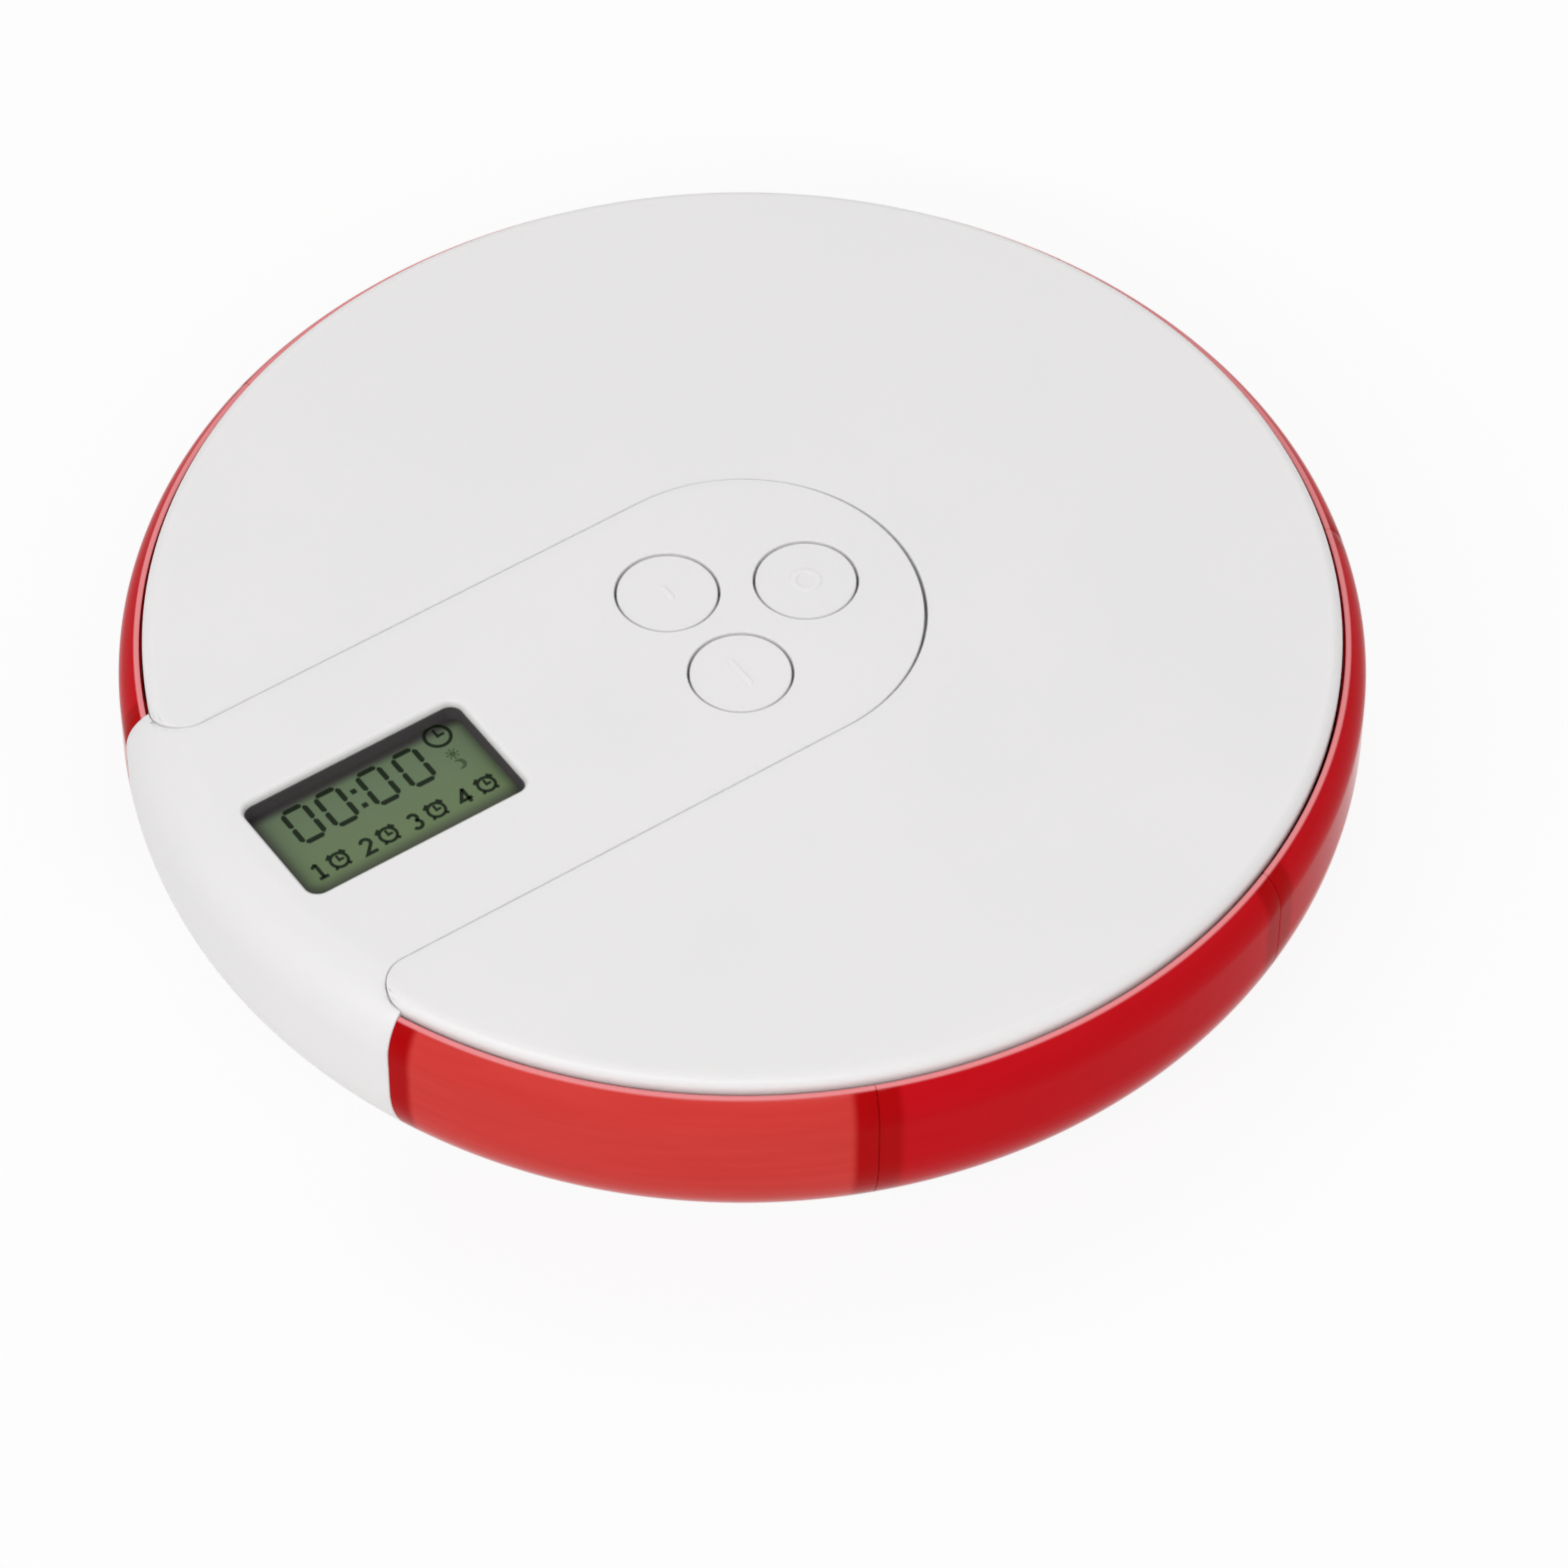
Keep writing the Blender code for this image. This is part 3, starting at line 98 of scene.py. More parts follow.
def newPiece(name, shape):
    bmesh.ops.recalc_face_normals(shape, faces=shape.faces)
    mesh = bpy.data.meshes.new(name)
    shape.to_mesh(mesh)
    shape.free()
    return addObject(name, mesh)


def turned(name, profile, steps=case["rimSteps"], closed=False, place=centre):
    shape = bmesh.new()
    points = [shape.verts.new((radius, 0.0, height)) for radius, height in profile]
    edges = [shape.edges.new(pair) for pair in zip(points, points[1:])]
    if closed:
        edges.append(shape.edges.new((points[-1], points[0])))
    bmesh.ops.spin(shape, geom=points + edges, cent=(0, 0, 0), axis=(0, 0, 1),
                   angle=fullTurn, steps=steps, use_merge=True)
    bmesh.ops.remove_doubles(shape, verts=shape.verts, dist=cleaning["turnedMerge"])
    bmesh.ops.translate(shape, verts=shape.verts, vec=(*place, 0.0))
    return newPiece(name, shape)


def rod(name, radius, low, high, place=centre, steps=case["smallSteps"]):
    profile = [(0.0, high), (radius, high), (radius, low), (0.0, low)]
    return turned(name, profile, steps, place=place)


def grown(outline, distance):
    points = []
    for i, here in enumerate(outline):
        before, after = outline[i - 1], outline[(i + 1) % len(outline)]
        first = (Vector(here) - Vector(before)).normalized()
        second = (Vector(after) - Vector(here)).normalized()
        normal = Vector((first.y + second.y, -first.x - second.x))
        normal *= 2 * distance / normal.length_squared
        points.append((here[0] + normal.x, here[1] + normal.y))
    return points


# A standing shape with the outline's sides: levels are pairs of offset and height
def prism(name, outline, levels):
    shape = bmesh.new()
    rings = []
    for offset, height in levels:
        points = grown(outline, offset) if offset else outline
        rings.append([shape.verts.new((x, y, height)) for x, y in points])
    for low, high in zip(rings, rings[1:]):
        for i, point in enumerate(low):
            j = (i + 1) % len(low)
            shape.faces.new((point, low[j], high[j], high[i]))
    shape.faces.new(rings[0][::-1])
    shape.faces.new(rings[-1])
    return newPiece(name, shape)


def slab(name, outline, low, high):
    return prism(name, outline, [(0, low), (0, high)])


def spun(outline, angle):
    turn = Matrix.Rotation(angle, 2)
    return [tuple(turn @ Vector(point)) for point in outline]


def block(name, low, high, angle=0.0):
    outline = [(low[0], low[1]), (high[0], low[1]), (high[0], high[1]), (low[0], high[1])]
    return slab(name, spun(outline, angle), low[2], high[2])


def settle(piece):
    bpy.context.view_layer.update()
    evaluated = piece.evaluated_get(bpy.context.evaluated_depsgraph_get())
    mesh = bpy.data.meshes.new_from_object(evaluated)
    piece.modifiers.clear()
    piece.data = mesh


def combine(piece, operation, tools):
    for tool in tools:
        step = piece.modifiers.new(tool.name, "BOOLEAN")
        step.object = tool
        step.operation = operation
        step.solver = "MANIFOLD"
    settle(piece)
    for tool in tools:
        bpy.data.objects.remove(tool, do_unlink=True)


def cut(piece, *tools):
    combine(piece, "DIFFERENCE", tools)


def join(piece, *tools):
    combine(piece, "UNION", tools)


def keepInside(piece, *tools):
    combine(piece, "INTERSECT", tools)


# Everything outside an outline, as a cutting shape that ends just inside the outline's heights
def outsideOf(name, outline, low, high, inside=0.01):
    reach = far + 3 * over
    around = block(name, (-reach, -reach, low + inside), (reach, reach, high - inside))
    cut(around, slab(name + "Room", outline, low, high))
    return around


def roundEdges(piece, width, segments):
    step = piece.modifiers.new("roundEdges", "BEVEL")
    step.width = width
    step.segments = segments
    step.limit_method = "ANGLE"
    step.angle_limit = cleaning["roundFrom"]
    step.use_clamp_overlap = False
    step.miter_outer = "MITER_ARC"
    settle(piece)


def weld(piece):
    shape = bmesh.new()
    shape.from_mesh(piece.data)
    bmesh.ops.remove_doubles(shape, verts=shape.verts, dist=cleaning["weld"])
    bmesh.ops.dissolve_limit(shape, angle_limit=cleaning["level"], verts=shape.verts,
                             edges=shape.edges)
    shape.to_mesh(piece.data)
    shape.free()


# The last step of each piece: millimetres to metres, smooth shading, finish and body
def finishPiece(piece, material, slotName, body, replaced=(), edge=0.0, segments=2):
    weld(piece)
    if edge:
        roundEdges(piece, edge, segments)
    piece.data.transform(Matrix.Scale(mm, 4))
    piece.data.shade_smooth()
    piece.data.set_sharp_from_angle(angle=cleaning["sharpFrom"])
    step = piece.modifiers.new("evenShading", "WEIGHTED_NORMAL")
    step.keep_sharp = True
    settle(piece)
    piece.data.materials.clear()
    piece.data.materials.append(material)
    if replaced:
        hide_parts(*replaced)
    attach(piece, body)


# Outlines that the pieces share

# The swell's curve between two heights, from the top down
def swellPoints(bottom, inset=0.0, top=case["swellHeight"], steps=22):
    high, rise = case["swellHeight"], case["swellHeight"] - inset
    first, last = (math.asin(min(1.0, (high - height) / rise)) for height in (top, bottom))
    turns = [first + (last - first) * i / steps for i in range(steps + 1)]
    return [(flatRadius + (case["swellDepth"] - inset) * math.cos(turn),
             high - rise * math.sin(turn)) for turn in turns]


# A wedge along +X whose sides stand in from the sector's planes
def wedge(offset, start, end):
    drop = offset / math.cos(halfSector)
    first, last = (x * math.tan(halfSector) - drop for x in (start, end))
    return [(start, -first), (end, -last), (end, last), (start, first)]


def mirrored(half):
    return half + [(x, -y) for x, y in reversed(half)]


cover = {
    "radius": 52.7, "thickness": 2.0, "edgeRound": 1.0,
    "cornerRadius": 3.0, "lineGap": 0.065, "cornerGap": 0.08,
    "endShift": (0.2, -0.18),                  # how far the slot's round end stands off
    "endSteps": 64, "cornerSteps": 24,
    "hubRadius": 19.9, "hubInner": 18.5, "ledgeInner": 15.4, "ledgeThickness": 1.0,
    "neckHalfWidth": 6.5, "slotFloor": 19.9, "slotEdgeRound": 0.1,
    "screwCircle": 15.5, "screwAngles": (0.0, 115 * degree, -115 * degree),
    "boss": (2.4, 4.3, 1.2, 10.2),             # radius, bottom, then its hole's radius and top
    "web": (16.7, 19.2, 0.6),                  # start, end, half its thickness
}
housing = {
    "tongueHalfWidth": 16.0, "plateBottom": 20.2, "rimRound": 5.0,
    "wall": 1.8, "sideWall": 1.2, "startX": -20.2, "edgeRound": 0.1,
    "windowX": -37.35, "windowLength": 22.1, "windowWidth": 12.0, "windowCorner": 1.2,
    "windowRound": 0.45, "windowRoundDrop": 0.7, "holeRound": 0.06,
    # a dark foam lining of the window's walls, standing in for their shade: its top and its
    # thickness
    "shadeLiningTop": 21.28, "shadeLiningWall": 0.1,
    "frameRoom": (13.4, 8.2, 13.3, 19.7),      # half length, half width, low, high
    "screwPlaces": ((-36.93, -10.9), (-36.93, 10.9)), "pillarRoom": 3.0,
    "boardScrewPlaces": ((5.4, 9.353), (5.4, -9.353), (-20.5, 0.0)),
    "boardBoss": (1.8, 13.6, 1.0, 17.3), "bossSink": 0.6,
}
drawer = {
    "bottom": 2.7, "top": 19.7, "innerRadius": 20.5, "floor": 1.8,
    "frontWall": 2.2, "sideWall": 1.5, "endWall": 1.5,
    "lipThickness": 2.0, "lipTop": 20.7,
    "groove": (21.5, 48.5, 2.3, 3.6),          # start, end, half width, top
    # the last entry lists the drawers given a paler red, painted light as if lit more from the
    # front
    "edgeRound": 0.08, "hollowRound": 1.1, "cornerRound": 1.4, "frontLit": (1,),
}
button = {
    "radius": 4.47, "gap": 0.22, "capTop": 21.9, "edgeRound": 0.12,
    "flangeRadius": 5.17, "flangeTop": 19.9, "flangeBottom": 18.9,
    "stemRadius": 1.6, "stemBottom": 18.3,
    "places": {"hour_button": (-4.1, 5.7), "minute_button": (-4.1, -5.7),
               "set_button": (6.8, 0.0)},
    "markWidth": 0.6, "markLengths": {"hour_button": 1.8, "minute_button": 3.4},
    "markRing": 1.1, "markRound": 0.1, "markSink": 0.2,
}


def coverCornerMiddle():
    y = housing["tongueHalfWidth"] + cover["lineGap"] + cover["cornerRadius"]
    return -math.sqrt((cover["radius"] - cover["cornerRadius"]) ** 2 - y * y), y


def coverSlotOutline():
    line = housing["tongueHalfWidth"] + cover["lineGap"]
    middle = coverCornerMiddle()
    rimAngle = math.atan2(middle[1], middle[0])
    half = arc(centre, line, 0.0, math.pi / 2, cover["endSteps"])
    half += arc(middle, cover["cornerRadius"], math.pi * 1.5, rimAngle, cover["cornerSteps"])
    half += [polar(far, rimAngle), (-far, far * math.tan(math.pi - rimAngle))]
    shiftX, shiftY = cover["endShift"]
    return [(x + shiftX * max(0.0, x) / line, y + shiftY * max(0.0, x) / line)
            for x, y in mirrored(half)[1:]]


def housingTopOutline():
    line, offset = housing["tongueHalfWidth"], case["jointGap"] / 2
    middle = coverCornerMiddle()
    bend = cover["cornerRadius"] + cover["cornerGap"]
    normal = math.pi / 2 - halfSector
    depth = middle[0] * math.cos(normal) + middle[1] * math.sin(normal)
    start = math.pi * 1.5 + math.acos((middle[1] - line) / bend)
    end = normal + math.acos((-offset - depth) / bend)
    half = arc(centre, line, 0.0, math.pi / 2, cover["endSteps"])
    half += arc(middle, bend, start, end, cover["cornerSteps"])
    half.append((-far, far * math.tan(halfSector) - offset / math.cos(halfSector)))
    return mirrored(half)[1:]


def roundedRectangle(middle, length, width, corner, steps=8):
    points = []
    for i, (sx, sy) in enumerate(((1, 1), (-1, 1), (-1, -1), (1, -1))):
        place = (middle[0] + sx * (length / 2 - corner), middle[1] + sy * (width / 2 - corner))
        points += arc(place, corner, i * math.pi / 2, (i + 1) * math.pi / 2, steps)
    return points


# Levels of a cutting shape that leaves a rounded edge at the case's top
def flared(low, fillet, steps=6, drop=0.0):
    levels = [(0.0, low)]
    for i in range(steps + 1):
        turn = math.pi / 2 * i / steps
        levels.append((fillet * (1 - math.cos(turn)),
                       caseTop - (drop or fillet) * (1 - math.sin(turn))))
    return levels + [(fillet, caseTop + over)]


# Colours and finishes

def hexColour(code):
    values = [int(code[i:i + 2], 16) / 255 for i in (1, 3, 5)]
    return tuple(v / 12.92 if v <= 0.04045 else ((v + 0.055) / 1.055) ** 2.4
                 for v in values) + (1.0,)


# A link from a node, and not from one of its sockets, takes its first output in use
def linkNode(tree, node, links):
    for key, source in links.items():
        if isinstance(source, bpy.types.Node):
            source = next(socket for socket in source.outputs if socket.enabled)
        tree.links.new(source, node.inputs[key])


def addNode(tree, kind, settings=None, links=None):
    node = tree.nodes.new("ShaderNode" + kind)
    for key, value in (settings or {}).items():
        if isinstance(key, str) and key[0].islower():
            setattr(node, key, value)
        else:
            node.inputs[key].default_value = value
    linkNode(tree, node, links or {})
    return node


def newMaterial(name, settings):
    material = bpy.data.materials.new(name)
    material.use_nodes = True
    tree = material.node_tree
    shader = tree.nodes["Principled BSDF"]
    for key, value in settings.items():
        shader.inputs[key].default_value = value
    return material, tree, shader


noiseRange = (0.3, 0.7)                        # where nearly all of a noise's values lie


# A finish's two colours by one pattern, its roughness by another, and its bump
def dress(tree, shader, spec, colourBy, roughBy=None, bump=None):
    first, second = (hexColour(code) for code in spec["colours"])
    colour = addNode(tree, "Mix", {"data_type": "RGBA", 6: first, 7: second}, {0: colourBy})
    links = {"Base Color": colour}
    if roughBy:
        low, high = spec["roughness"]
        links["Roughness"] = addNode(tree, "MapRange", {
            "From Min": noiseRange[0], "From Max": noiseRange[1],
            "To Min": low, "To Max": high}, {"Value": roughBy})
    if bump:
        links["Normal"] = bump
    linkNode(tree, shader, links)
    return colour


# A colour laid over another in a soft band: none at its start, and up to its depth at its end
def layOver(tree, shader, under, code, along, start, end, depth=1.0):
    mask = addNode(tree, "MapRange", {
        "From Min": start, "From Max": end, "To Max": depth,
        "interpolation_type": "SMOOTHSTEP"}, {"Value": along})
    colour = addNode(tree, "Mix", {"data_type": "RGBA", 7: hexColour(code)},
                     {0: mask, 6: under})
    linkNode(tree, shader, {"Base Color": colour})
    return colour


# Injection-moulded plastic: two near tones drift in slow clouds, a fine grain from the mould
# breaks up the gloss, and the roughness drifts with the clouds
def mouldedPlastic(name, spec):
    material, tree, shader = newMaterial(name, {"IOR": spec["ior"], **spec.get("sockets", {})})
    place = addNode(tree, "TexCoord").outputs["Object"]
    cloud = addNode(tree, "TexNoise", {
        "Scale": 1 / (spec["cloudMm"] * mm), "Detail": 3.0}, {"Vector": place})
    grain = addNode(tree, "TexNoise", {
        "Scale": 1 / (spec["grainMm"] * mm), "Detail": 2.0}, {"Vector": place})
    slow = addNode(tree, "Bump", {"Distance": spec["waveDepthMm"] * mm}, {"Height": cloud})
    bump = addNode(tree, "Bump", {"Distance": spec["grainDepthMm"] * mm},
                   {"Height": grain, "Normal": slow})
    dress(tree, shader, spec, cloud, cloud, bump)
    return material


# Rolled, drawn or turned metal: fine lines in one direction, and a slow cloud of tarnish
def workedMetal(name, spec):
    material, tree, shader = newMaterial(name, {"Metallic": 1.0})
    place = addNode(tree, "TexCoord").outputs["Object"]
    along = addNode(tree, "Mapping", {"Scale": spec["stretch"]}, {"Vector": place})
    lines = addNode(tree, "TexNoise", {
        "Scale": 1 / (spec["lineMm"] * mm), "Detail": 2.0}, {"Vector": along})
    cloud = addNode(tree, "TexNoise", {
        "Scale": 1 / (spec["cloudMm"] * mm), "Detail": 4.0}, {"Vector": place})
    bump = addNode(tree, "Bump", {"Distance": spec["lineDepthMm"] * mm}, {"Height": lines})
    dress(tree, shader, spec, cloud, lines, bump)
    return material


plastics = {
    # ABS from a spark-eroded mould: even satin white, no sharp highlights
    "mouldedAbsWhite": {
        "colours": ("#E7E5E5", "#E4E3E3"), "roughness": (0.36, 0.44), "ior": 1.52,
        "cloudMm": 18.0, "waveDepthMm": 0.004, "grainMm": 0.3, "grainDepthMm": 0.0016,
        "sockets": {"Subsurface Weight": 0.4, "Subsurface Scale": 0.001,
                    "Subsurface Radius": (1.0, 0.95, 0.9)}},
    # Closed-cell foam strip between window and display: dull dark grey, no shine; it also
    # stands in for the shade on the window's walls
    "shadeLiningFoamBlack": {
        "colours": ("#403D3E", "#4A4748"), "roughness": (0.85, 0.95), "ior": 1.45,
        "cloudMm": 0.6, "waveDepthMm": 0.01, "grainMm": 0.15, "grainDepthMm": 0.006},
    # Glass-filled polyamide, plain mould: dull black with a slight grey bloom
    "mouldedPolyamideBlack": {
        "colours": ("#1E1E20", "#2C2C2E"), "roughness": (0.45, 0.6), "ior": 1.53,
        "cloudMm": 3.0, "waveDepthMm": 0.004, "grainMm": 0.2, "grainDepthMm": 0.004},
    # Epoxy cast over the chip: black, with the soft gloss of a set drop
    "castEpoxyBlack": {
        "colours": ("#141416", "#1E1D1D"), "roughness": (0.12, 0.25), "ior": 1.55,
        "cloudMm": 2.5, "waveDepthMm": 0.03, "grainMm": 0.4, "grainDepthMm": 0.001},
    # PVC drawn over the buzzer's wires: soft even sheen
    "extrudedPvcRed": {
        "colours": ("#B01E1E", "#A21818"), "roughness": (0.35, 0.45), "ior": 1.53,
        "cloudMm": 2.0, "waveDepthMm": 0.003, "grainMm": 0.2, "grainDepthMm": 0.001},
    "extrudedPvcBlack": {
        "colours": ("#19191A", "#232324"), "roughness": (0.35, 0.45), "ior": 1.53,
        "cloudMm": 2.0, "waveDepthMm": 0.003, "grainMm": 0.2, "grainDepthMm": 0.001},
}
metals = {
    # Nickel-plated steel, pressed: bright, with faint drawing lines
    "platedSteelBright": {
        "colours": ("#C9CACC", "#BDBEC1"), "roughness": (0.16, 0.3), "stretch": (1, 0.05, 1),
        "lineMm": 0.12, "lineDepthMm": 0.0006, "cloudMm": 4.0},
    # Zinc-plated screws: greyer, a little dull from the plating bath
    "zincPlatedSteel": {
        "colours": ("#B4B7BA", "#A3A7AC"), "roughness": (0.26, 0.4), "stretch": (1, 1, 0.3),
        "lineMm": 0.2, "lineDepthMm": 0.0008, "cloudMm": 1.5},
    # Brass sheet, rolled: straight fine lines and a trace of tarnish
    "rolledBrass": {
        "colours": ("#D2AC62", "#BE9650"), "roughness": (0.22, 0.38), "stretch": (0.04, 1, 1),
        "lineMm": 0.15, "lineDepthMm": 0.0008, "cloudMm": 3.0},
    # Silver fired on ceramic: matt, pale and faintly mottled
    "firedSilver": {
        "colours": ("#D6D5CF", "#C4C3BC"), "roughness": (0.42, 0.55), "stretch": (1, 1, 1),
        "lineMm": 0.3, "lineDepthMm": 0.0015, "cloudMm": 1.2},
}
polystyrene = {
    # the first colour is a painted shade, a deeper red near each joint
    "jointShadeColour": "#AE0408", "transmission": 0.05,
    # a painted highlight along the lip's top edge, and the heights it spans
    "lipHighlightColour": "#EC8E91", "lipHighlightMm": (20.5, 20.68),
    "ior": 1.42, "specular": 0.02,             # under polystyrene's 1.59, for a weaker gloss
    "streakMm": 0.9, "streakLength": 14.0,     # height of a flow line, and its length to height
    # the last two: width of the painted shade near each joint, and of its soft edge
    "streakDepthMm": 0.012, "jointShadeMm": 1.6, "jointShadeSoftMm": 0.9,
}
clearReds = {
    "polishedPolystyreneRed": {"colours": ("#BF0812", "#C8121E"), "roughness": (0.06, 0.14)},
    # A drawer with painted light: a paler red, as if lit more from the front, and duller, its
    # flow lines easier to see
    "frontLitPolystyreneRed": {"colours": ("#C83530", "#D6433E"), "roughness": (0.09, 0.18)},
}


# Clear polystyrene tinted red, polished mould: smooth gloss and faint flow lines round the rim.
# Painted shade: a deeper red near each joint, for the light that runs along a side wall instead
# of across it. Painted highlight: a pale pink band along the lip's top edge
def tintedPolystyrene(name, spec):
    material, tree, shader = newMaterial(name, {
        "IOR": polystyrene["ior"], "Specular IOR Level": polystyrene["specular"],
        "Transmission Weight": polystyrene["transmission"]})
    place = addNode(tree, "TexCoord").outputs["Object"]
    parts = addNode(tree, "SeparateXYZ", links={"Vector": place}).outputs
    angle = addNode(tree, "Math", {"operation": "ARCTAN2"}, {0: parts["Y"], 1: parts["X"]})
    along = addNode(tree, "Math", {
        "operation": "MULTIPLY", 1: case["radius"] * mm / polystyrene["streakLength"]},
        {0: angle})
    flow = addNode(tree, "CombineXYZ", links={"X": along, "Z": parts["Z"]})
    streak = addNode(tree, "TexNoise", {
        "Scale": 1 / (polystyrene["streakMm"] * mm), "Detail": 3.0}, {"Vector": flow})
    bump = addNode(tree, "Bump", {"Distance": polystyrene["streakDepthMm"] * mm},
                   {"Height": streak})
    colour = dress(tree, shader, spec, streak, streak, bump)
    fromJoint = angle                          # 0 at a joint, a half in the middle of a drawer
    for operation, value in (("MULTIPLY", case["sectors"] / fullTurn), ("FRACT", 0.0),
                             ("SUBTRACT", 0.5), ("ABSOLUTE", 0.0)):
        fromJoint = addNode(tree, "Math", {"operation": operation, 1: value}, {0: fromJoint})
    sector = case["radius"] * fullTurn / case["sectors"]
    jointShadeMm, softMm = polystyrene["jointShadeMm"], polystyrene["jointShadeSoftMm"]
    # Painted shade: a deeper red near each joint, for light that runs along a side wall
    colour = layOver(tree, shader, colour, polystyrene["jointShadeColour"], fromJoint,
                     (jointShadeMm + softMm) / sector, jointShadeMm / sector)
    # Painted highlight: a pale pink band along the lip's top edge
    lipLow, lipHigh = polystyrene["lipHighlightMm"]
    layOver(tree, shader, colour, polystyrene["lipHighlightColour"], parts["Z"], lipLow * mm,
            lipHigh * mm)
    return material


display = {
    "halfLength": 12.2, "halfWidth": 6.9, "corner": 0.4, "bottom": 18.1,
    "panelTop": 19.84, "figureBottom": 19.82, "figureTop": 19.88, "edgeRound": 0.12,
    "glass": {"IOR": 1.49, "Roughness": 0.5, "Specular IOR Level": 0.12},
    "colours": ("#677A55", "#627358"),         # grey-green of the reflector, near and far side
    "colourY": (-6.0, 4.5),                    # where each of the two is reached
    "speckMm": 0.12, "speckTones": (0.94, 1.06),
    # Painted shade along the panel's edges, where the window's walls shade it: its colour, then
    # for each edge its axis, where it starts, where it is at its darkest, and how dark
    "shade": "#423F3F",
    "shadedEdges": (("Y", 4.45, 5.55, 1.0), ("Y", -3.1, -4.9, 0.8), ("X", -27.3, -25.8, 0.8),
                 ("X", -46.5, -47.9, 0.85)),
    "ink": "#0E1C09", "faintInk": "#3F5036", "inkCloudMm": 0.5, "inkTones": (0.75, 1.25),
}


# The reflector behind a twisted liquid crystal cell: foil grey-green under clear glass. Painted
# shade darkens it softly towards its edges, for the shadow of the window's walls, most at the
# long edge and inner end
def reflectorGreen():
    material, tree, shader = newMaterial("polarisedReflectorGreen", display["glass"])
    place = addNode(tree, "TexCoord").outputs["Object"]
    parts = addNode(tree, "SeparateXYZ", links={"Vector": place}).outputs
    near, away = display["colourY"]
    across = addNode(tree, "MapRange", {
        "From Min": near * mm, "From Max": away * mm, "interpolation_type": "SMOOTHSTEP"},
        {"Value": parts["Y"]})
    speck = addNode(tree, "TexNoise", {
        "Scale": 1 / (display["speckMm"] * mm), "Detail": 2.0}, {"Vector": place})
    low, high = display["speckTones"]
    tone = addNode(tree, "MapRange", {"To Min": low, "To Max": high}, {"Value": speck})
    green = dress(tree, shader, display, across)
    colour = addNode(tree, "HueSaturation", links={"Color": green, "Value": tone})
    # Painted shade along each edge of the panel, where the window's walls shade it
    for axis, pale, dark, depth in display["shadedEdges"]:
        colour = layOver(tree, shader, colour, display["shade"], parts[axis], pale * mm,
                         dark * mm, depth)
    return material


# Liquid crystal segments: flat, their tone drifting a little from place to place
def segmentInk(name, colour):
    material, tree, shader = newMaterial(name, display["glass"])
    place = addNode(tree, "TexCoord").outputs["Object"]
    cloud = addNode(tree, "TexNoise", {"Scale": 1 / (display["inkCloudMm"] * mm)},
                    {"Vector": place})
    low, high = display["inkTones"]
    tone = addNode(tree, "MapRange", {"To Min": low, "To Max": high}, {"Value": cloud})
    ink = addNode(tree, "HueSaturation", {"Color": hexColour(colour)}, {"Value": tone})
    linkNode(tree, shader, {"Base Color": ink})
    return material


laminate = {
    "colours": ("#1F5A35", "#256540"), "trackColour": "#3F8A52",
    "weaveMm": 0.5, "trackMm": 2.4, "trackDepthMm": 0.03,
    "sockets": {"IOR": 1.5, "Roughness": 0.38, "Coat Weight": 0.3, "Coat Roughness": 0.2},
    "tracks": {"Mortar Size": 0.09, "Brick Width": 1.6, "Row Height": 0.5},
}
silicone = {
    "colours": ("#DCA3A8", "#B88086"), "sockets": {"IOR": 1.41, "Roughness": 0.6},
    "layerMm": 0.4,                            # real pitch is 0.1 mm, too fine to show
    "waveScale": 0.314,                        # a wave texture repeats at this by default
}


# Glass-epoxy laminate under green lacquer: weave, and copper tracks showing paler through it
def lacqueredLaminate():
    material, tree, shader = newMaterial("lacqueredLaminateGreen", laminate["sockets"])
    place = addNode(tree, "TexCoord").outputs["Object"]
    weave = addNode(tree, "TexChecker", {"Scale": 1 / (laminate["weaveMm"] * mm)},
                    {"Vector": place}).outputs["Fac"]
    tracks = addNode(tree, "TexBrick", {
        "Scale": 1 / (laminate["trackMm"] * mm), **laminate["tracks"]},
        {"Vector": place}).outputs["Fac"]
    bump = addNode(tree, "Bump", {"Distance": laminate["trackDepthMm"] * mm},
                   {"Height": tracks})
    board = dress(tree, shader, laminate, weave, bump=bump)
    colour = addNode(tree, "Mix", {
        "data_type": "RGBA", 7: hexColour(laminate["trackColour"])}, {0: tracks, 6: board})
    linkNode(tree, shader, {"Base Color": colour})
    return material


# Silicone rubber strip that joins glass and board: pink, with its carbon layers as fine lines
def layeredSilicone():
    material, tree, shader = newMaterial("layeredSiliconePink", silicone["sockets"])
    place = addNode(tree, "TexCoord").outputs["Object"]
    lines = addNode(tree, "TexWave", {
        "wave_type": "BANDS", "bands_direction": "X",
        "Scale": silicone["waveScale"] / (silicone["layerMm"] * mm)},
        {"Vector": place}).outputs["Fac"]
    dress(tree, shader, silicone, lines)
    return material


finishes = {name: mouldedPlastic(name, spec) for name, spec in plastics.items()}
finishes.update({name: tintedPolystyrene(name, spec) for name, spec in clearReds.items()})
finishes.update({name: workedMetal(name, spec) for name, spec in metals.items()})
for finish in (reflectorGreen(), segmentInk("segmentInkDark", display["ink"]),
               segmentInk("segmentInkFaint", display["faintInk"]), lacqueredLaminate(),
               layeredSilicone()):
    finishes[finish.name] = finish
whiteAbs = (finishes["mouldedAbsWhite"], "white_abs")
print("finishes made")


# Top cover with the hub under it

# A hanging boss, with what stands beside it, and the blind hole for its screw
def hangBoss(piece, boss, top, place, *webs):
    radius, low, holeRadius, holeTop = boss
    join(piece, rod("boss", radius, low, top, place), *webs)
    cut(piece, rod("pilot", holeRadius, low - over, holeTop, place))


